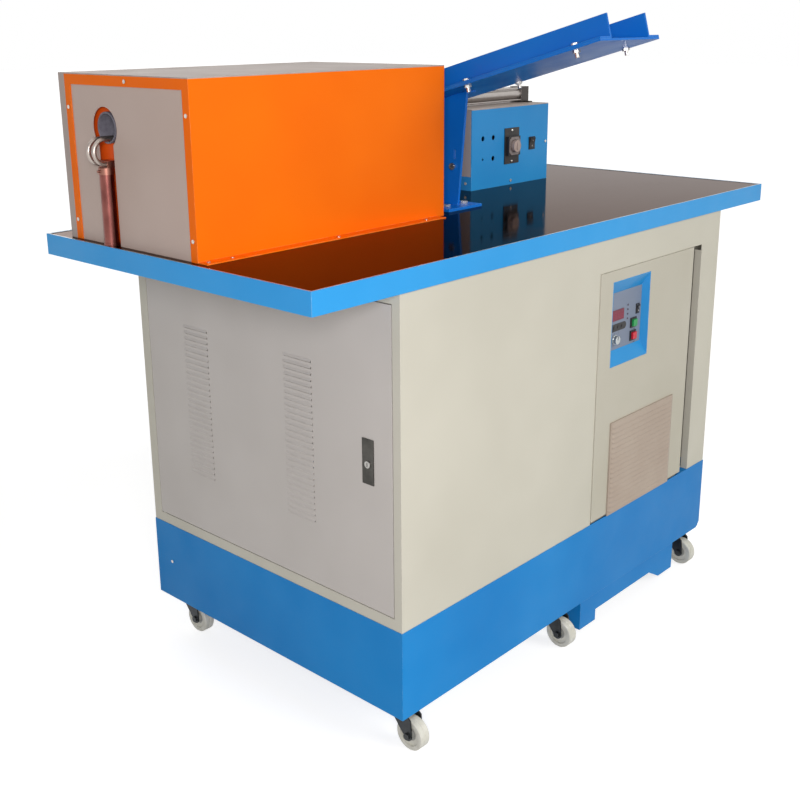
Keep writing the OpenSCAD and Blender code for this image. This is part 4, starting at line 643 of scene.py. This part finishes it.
def add_grill():
    low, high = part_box("grill")
    width, height, face = high.x - low.x, high.z - low.z, high.y
    columns = grill_columns(width)
    pitch = (height - 2 * GRILL_BORDER) / GRILL_ROWS
    rows = [(0.0, None)]
    for i in range(GRILL_ROWS):
        rows += [(GRILL_BORDER + (i + at) * pitch, rise) for at, rise in LOUVRE_SECTION]
    rows += [(height - GRILL_BORDER, 0.0), (height, None)]
    bm = bmesh.new()
    grid = []
    for z, rise in rows:
        line = []
        for x in columns:
            from_end = min(x, width - x) - GRILL_BORDER
            share = max(0.0, min(1.0, from_end / LOUVRE_END))
            round_end = math.sqrt(1 - (1 - share) ** 2)
            depth = LOUVRE_BASE + (LOUVRE_RISE * rise * round_end if rise is not None else 0.0)
            line.append(bm.verts.new((low.x + x, face - depth, low.z + z)))
        grid.append(line)
    for a, b in zip(grid, grid[1:]):
        for i in range(len(columns) - 1):
            bm.faces.new((a[i], a[i + 1], b[i + 1], b[i]))
    up_right, down_left = [line[-1] for line in grid[1:]], [line[0] for line in grid[-2:0:-1]]
    border = grid[0] + up_right + grid[-1][-2::-1] + down_left
    back = [bm.verts.new((v.co.x, face, v.co.z)) for v in border]
    for i in range(len(border)):
        j = (i + 1) % len(border)
        bm.faces.new((border[i], border[j], back[j], back[i]))
    bm.faces.new(back)
    mesh = new_mesh("grill_louvres", bm)
    piece = add_mesh("grill_louvres", mesh, "grill_paint", "machine", GRILL_SHARP)
    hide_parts("grill")


# the display: four unlit seven-segment figures with their points
DIGITS = 4
DIGIT_HEIGHT, DIGIT_WIDTH, SEGMENT, POINT_GAP = 0.0125, 0.0070, 0.0012, 0.0016


def add_display():
    low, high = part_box("display_window")
    bm = bmesh.new()
    middle_z = (low.z + high.z) / 2
    for i in range(DIGITS):
        x = low.x + (high.x - low.x) * (i + 0.5) / DIGITS
        half_w, half_h = DIGIT_WIDTH / 2, DIGIT_HEIGHT / 2
        for z in (-half_h, 0.0, half_h):
            add_prism(bm, (x, low.y, middle_z + z), (half_w - SEGMENT, PRINT, SEGMENT / 2))
        for side in (-half_w, half_w):
            for z in (-half_h / 2, half_h / 2):
                add_prism(bm, (x + side, low.y, middle_z + z), (SEGMENT / 2, PRINT, half_h / 2 - SEGMENT))
        point = (x + half_w + POINT_GAP, low.y, middle_z - half_h)
        add_prism(bm, point, (SEGMENT / 2, PRINT, SEGMENT / 2))
    add_mesh("display_figures", new_mesh("display_figures", bm), "digit_off", "machine")


# the control plate: the level knob's scale and pointer, and the words under the buttons
LEVEL_TICKS_OUT, LEVEL_TICK, LEVEL_MARKS, LEVEL_SPAN = 0.0135, 0.0022, 11, 270
LEVEL_FIGURES_OUT, LEVEL_FIGURE_SIZE = 0.0172, 0.0030
POINTER_OUT, POINTER_HALF = 0.0045, (0.0007, 0.0002, 0.0042)
WORD_BELOW, WORD_SIZE = 0.0138, 0.0040


def add_panel_print():
    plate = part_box("control_plate")[0].y
    knob = node_centre("level_knob")
    dial_scale("level", (knob.x, plate, knob.z), LEVEL_TICKS_OUT, LEVEL_TICK, LEVEL_MARKS, LEVEL_SPAN,
               LEVEL_FIGURES_OUT, LEVEL_FIGURE_SIZE)
    pointer = bmesh.new()
    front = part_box("level_knob")[0].y
    add_prism(pointer, (knob.x, front, knob.z + POINTER_OUT), POINTER_HALF)
    add_mesh("level_pointer", new_mesh("level_pointer", pointer), "print_dark", "level")
    for node, word in (("start_button", "ON"), ("stop_button", "OFF")):
        at = node_centre(node)
        place = (at.x, plate, at.z - WORD_BELOW)
        lettering(word.lower() + "_word", word, WORD_SIZE, place, "print_dark", "machine")


# a rocker's bar and ring, and how its two halves lean
ROCKER_TILT = math.radians(8)
HALF_LEAN = 0.10
MARK_OUT = 0.00085
BAR_HALF = (0.0004, 0.0002, 0.0016)
RING_INNER, RING_OUTER, RING_THICK, RING_STEPS = 0.0009, 0.0015, 0.0003, 20


def rocker_marks(name, node, body):
    """The bar and the ring on a rocker's two halves."""
    low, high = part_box(node)
    centre = (low + high) / 2
    reach = (high.z - low.z) / 4
    for end, label in ((1, "bar"), (-1, "ring")):
        bm = bmesh.new()
        lean = ROCKER_TILT + end * HALF_LEAN
        y = centre.y - end * reach * math.tan(ROCKER_TILT) - MARK_OUT
        at = (centre.x, y, centre.z + end * reach)
        if label == "bar":
            add_prism(bm, at, BAR_HALF, tilt=-lean)
        else:
            add_ring(bm, at, RING_INNER, RING_OUTER, RING_THICK, RING_STEPS, tilt=-lean)
        add_mesh(f"{name}_{label}", new_mesh(f"{name}_{label}", bm), "print_light", body)


# the timer: a dial plate with cut corners, its scale and the two screws of its black plate
TIMER_HALF, TIMER_HOLE, TIMER_FACE, TIMER_STEPS = 0.0215, 0.0155, 0.0012, 96
TIMER_CORNER = 1.62
TIMER_CLEAR = 0.0003
TIMER_TICKS_OUT, TIMER_TICK, TIMER_MARKS, TIMER_SPAN = 0.0166, 0.0018, 21, 300
TIMER_FIGURES_OUT, TIMER_FIGURE_SIZE = 0.0192, 0.0026
TIMER_PLATE = 0.002
TIMER_SCREW_OUT = 0.037
# the screw's head, from pairs of radius and height
TIMER_SCREW = ((0.0030, 0.0), (0.0030, 0.0006), (0.0026, 0.0011), (0.0016, 0.0014))
SCREW_STEPS, SCREW_SHARP = 24, 40


def cut_square(angle):
    """The distance from the middle to the edge of the timer's dial plate, whose corners are cut off."""
    side = max(abs(math.sin(angle)), abs(math.cos(angle)))
    corner = (abs(math.sin(angle)) + abs(math.cos(angle))) / TIMER_CORNER
    return TIMER_HALF / max(side, corner)


def add_timer_dial():
    knob = node_centre("timer_knob")
    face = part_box("timer_knob")[1].y + TIMER_CLEAR
    bm = bmesh.new()
    add_ring(bm, (knob.x, face, knob.z), TIMER_HOLE, cut_square, TIMER_FACE, TIMER_STEPS)
    add_mesh("timer_face", new_mesh("timer_face", bm), "dial_face", "machine")
    dial_scale("timer", (knob.x, face - TIMER_FACE, knob.z), TIMER_TICKS_OUT, TIMER_TICK, TIMER_MARKS,
               TIMER_SPAN, TIMER_FIGURES_OUT, TIMER_FIGURE_SIZE)
    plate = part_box("control_box")[0].y - TIMER_PLATE
    for up in (-1, 1):
        bm = bmesh.new()
        at = (knob.x, plate, knob.z + up * TIMER_SCREW_OUT)
        add_lathe(bm, at, TIMER_SCREW, SCREW_STEPS)
        name = "timer_screw_" + ("top" if up > 0 else "bottom")
        add_mesh(name, new_mesh(name, bm), "screw_steel", "machine", SCREW_SHARP)


# the bright edge of the deck inside the rim
TRIM_WIDTH, TRIM_HEIGHT = 0.0025, 0.0008


def add_deck_trim():
    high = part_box("table_deck")[1]
    bm = bmesh.new()
    z = high.z + TRIM_HEIGHT / 2
    for side in (-1, 1):
        x = high.x * side - side * TRIM_WIDTH / 2
        add_prism(bm, (x, 0, z), (TRIM_WIDTH / 2, high.y, TRIM_HEIGHT / 2))
        y = high.y * side - side * TRIM_WIDTH / 2
        add_prism(bm, (0, y, z), (high.x - TRIM_WIDTH, TRIM_WIDTH / 2, TRIM_HEIGHT / 2))
    add_mesh("deck_trim", new_mesh("deck_trim", bm), "deck_trim", "machine")


add_grill()
add_display()
add_panel_print()
rocker_marks("power", "power_rocker", "main_rocker")
rocker_marks("feed", "feed_rocker", "feed_switch")
add_timer_dial()
add_deck_trim()
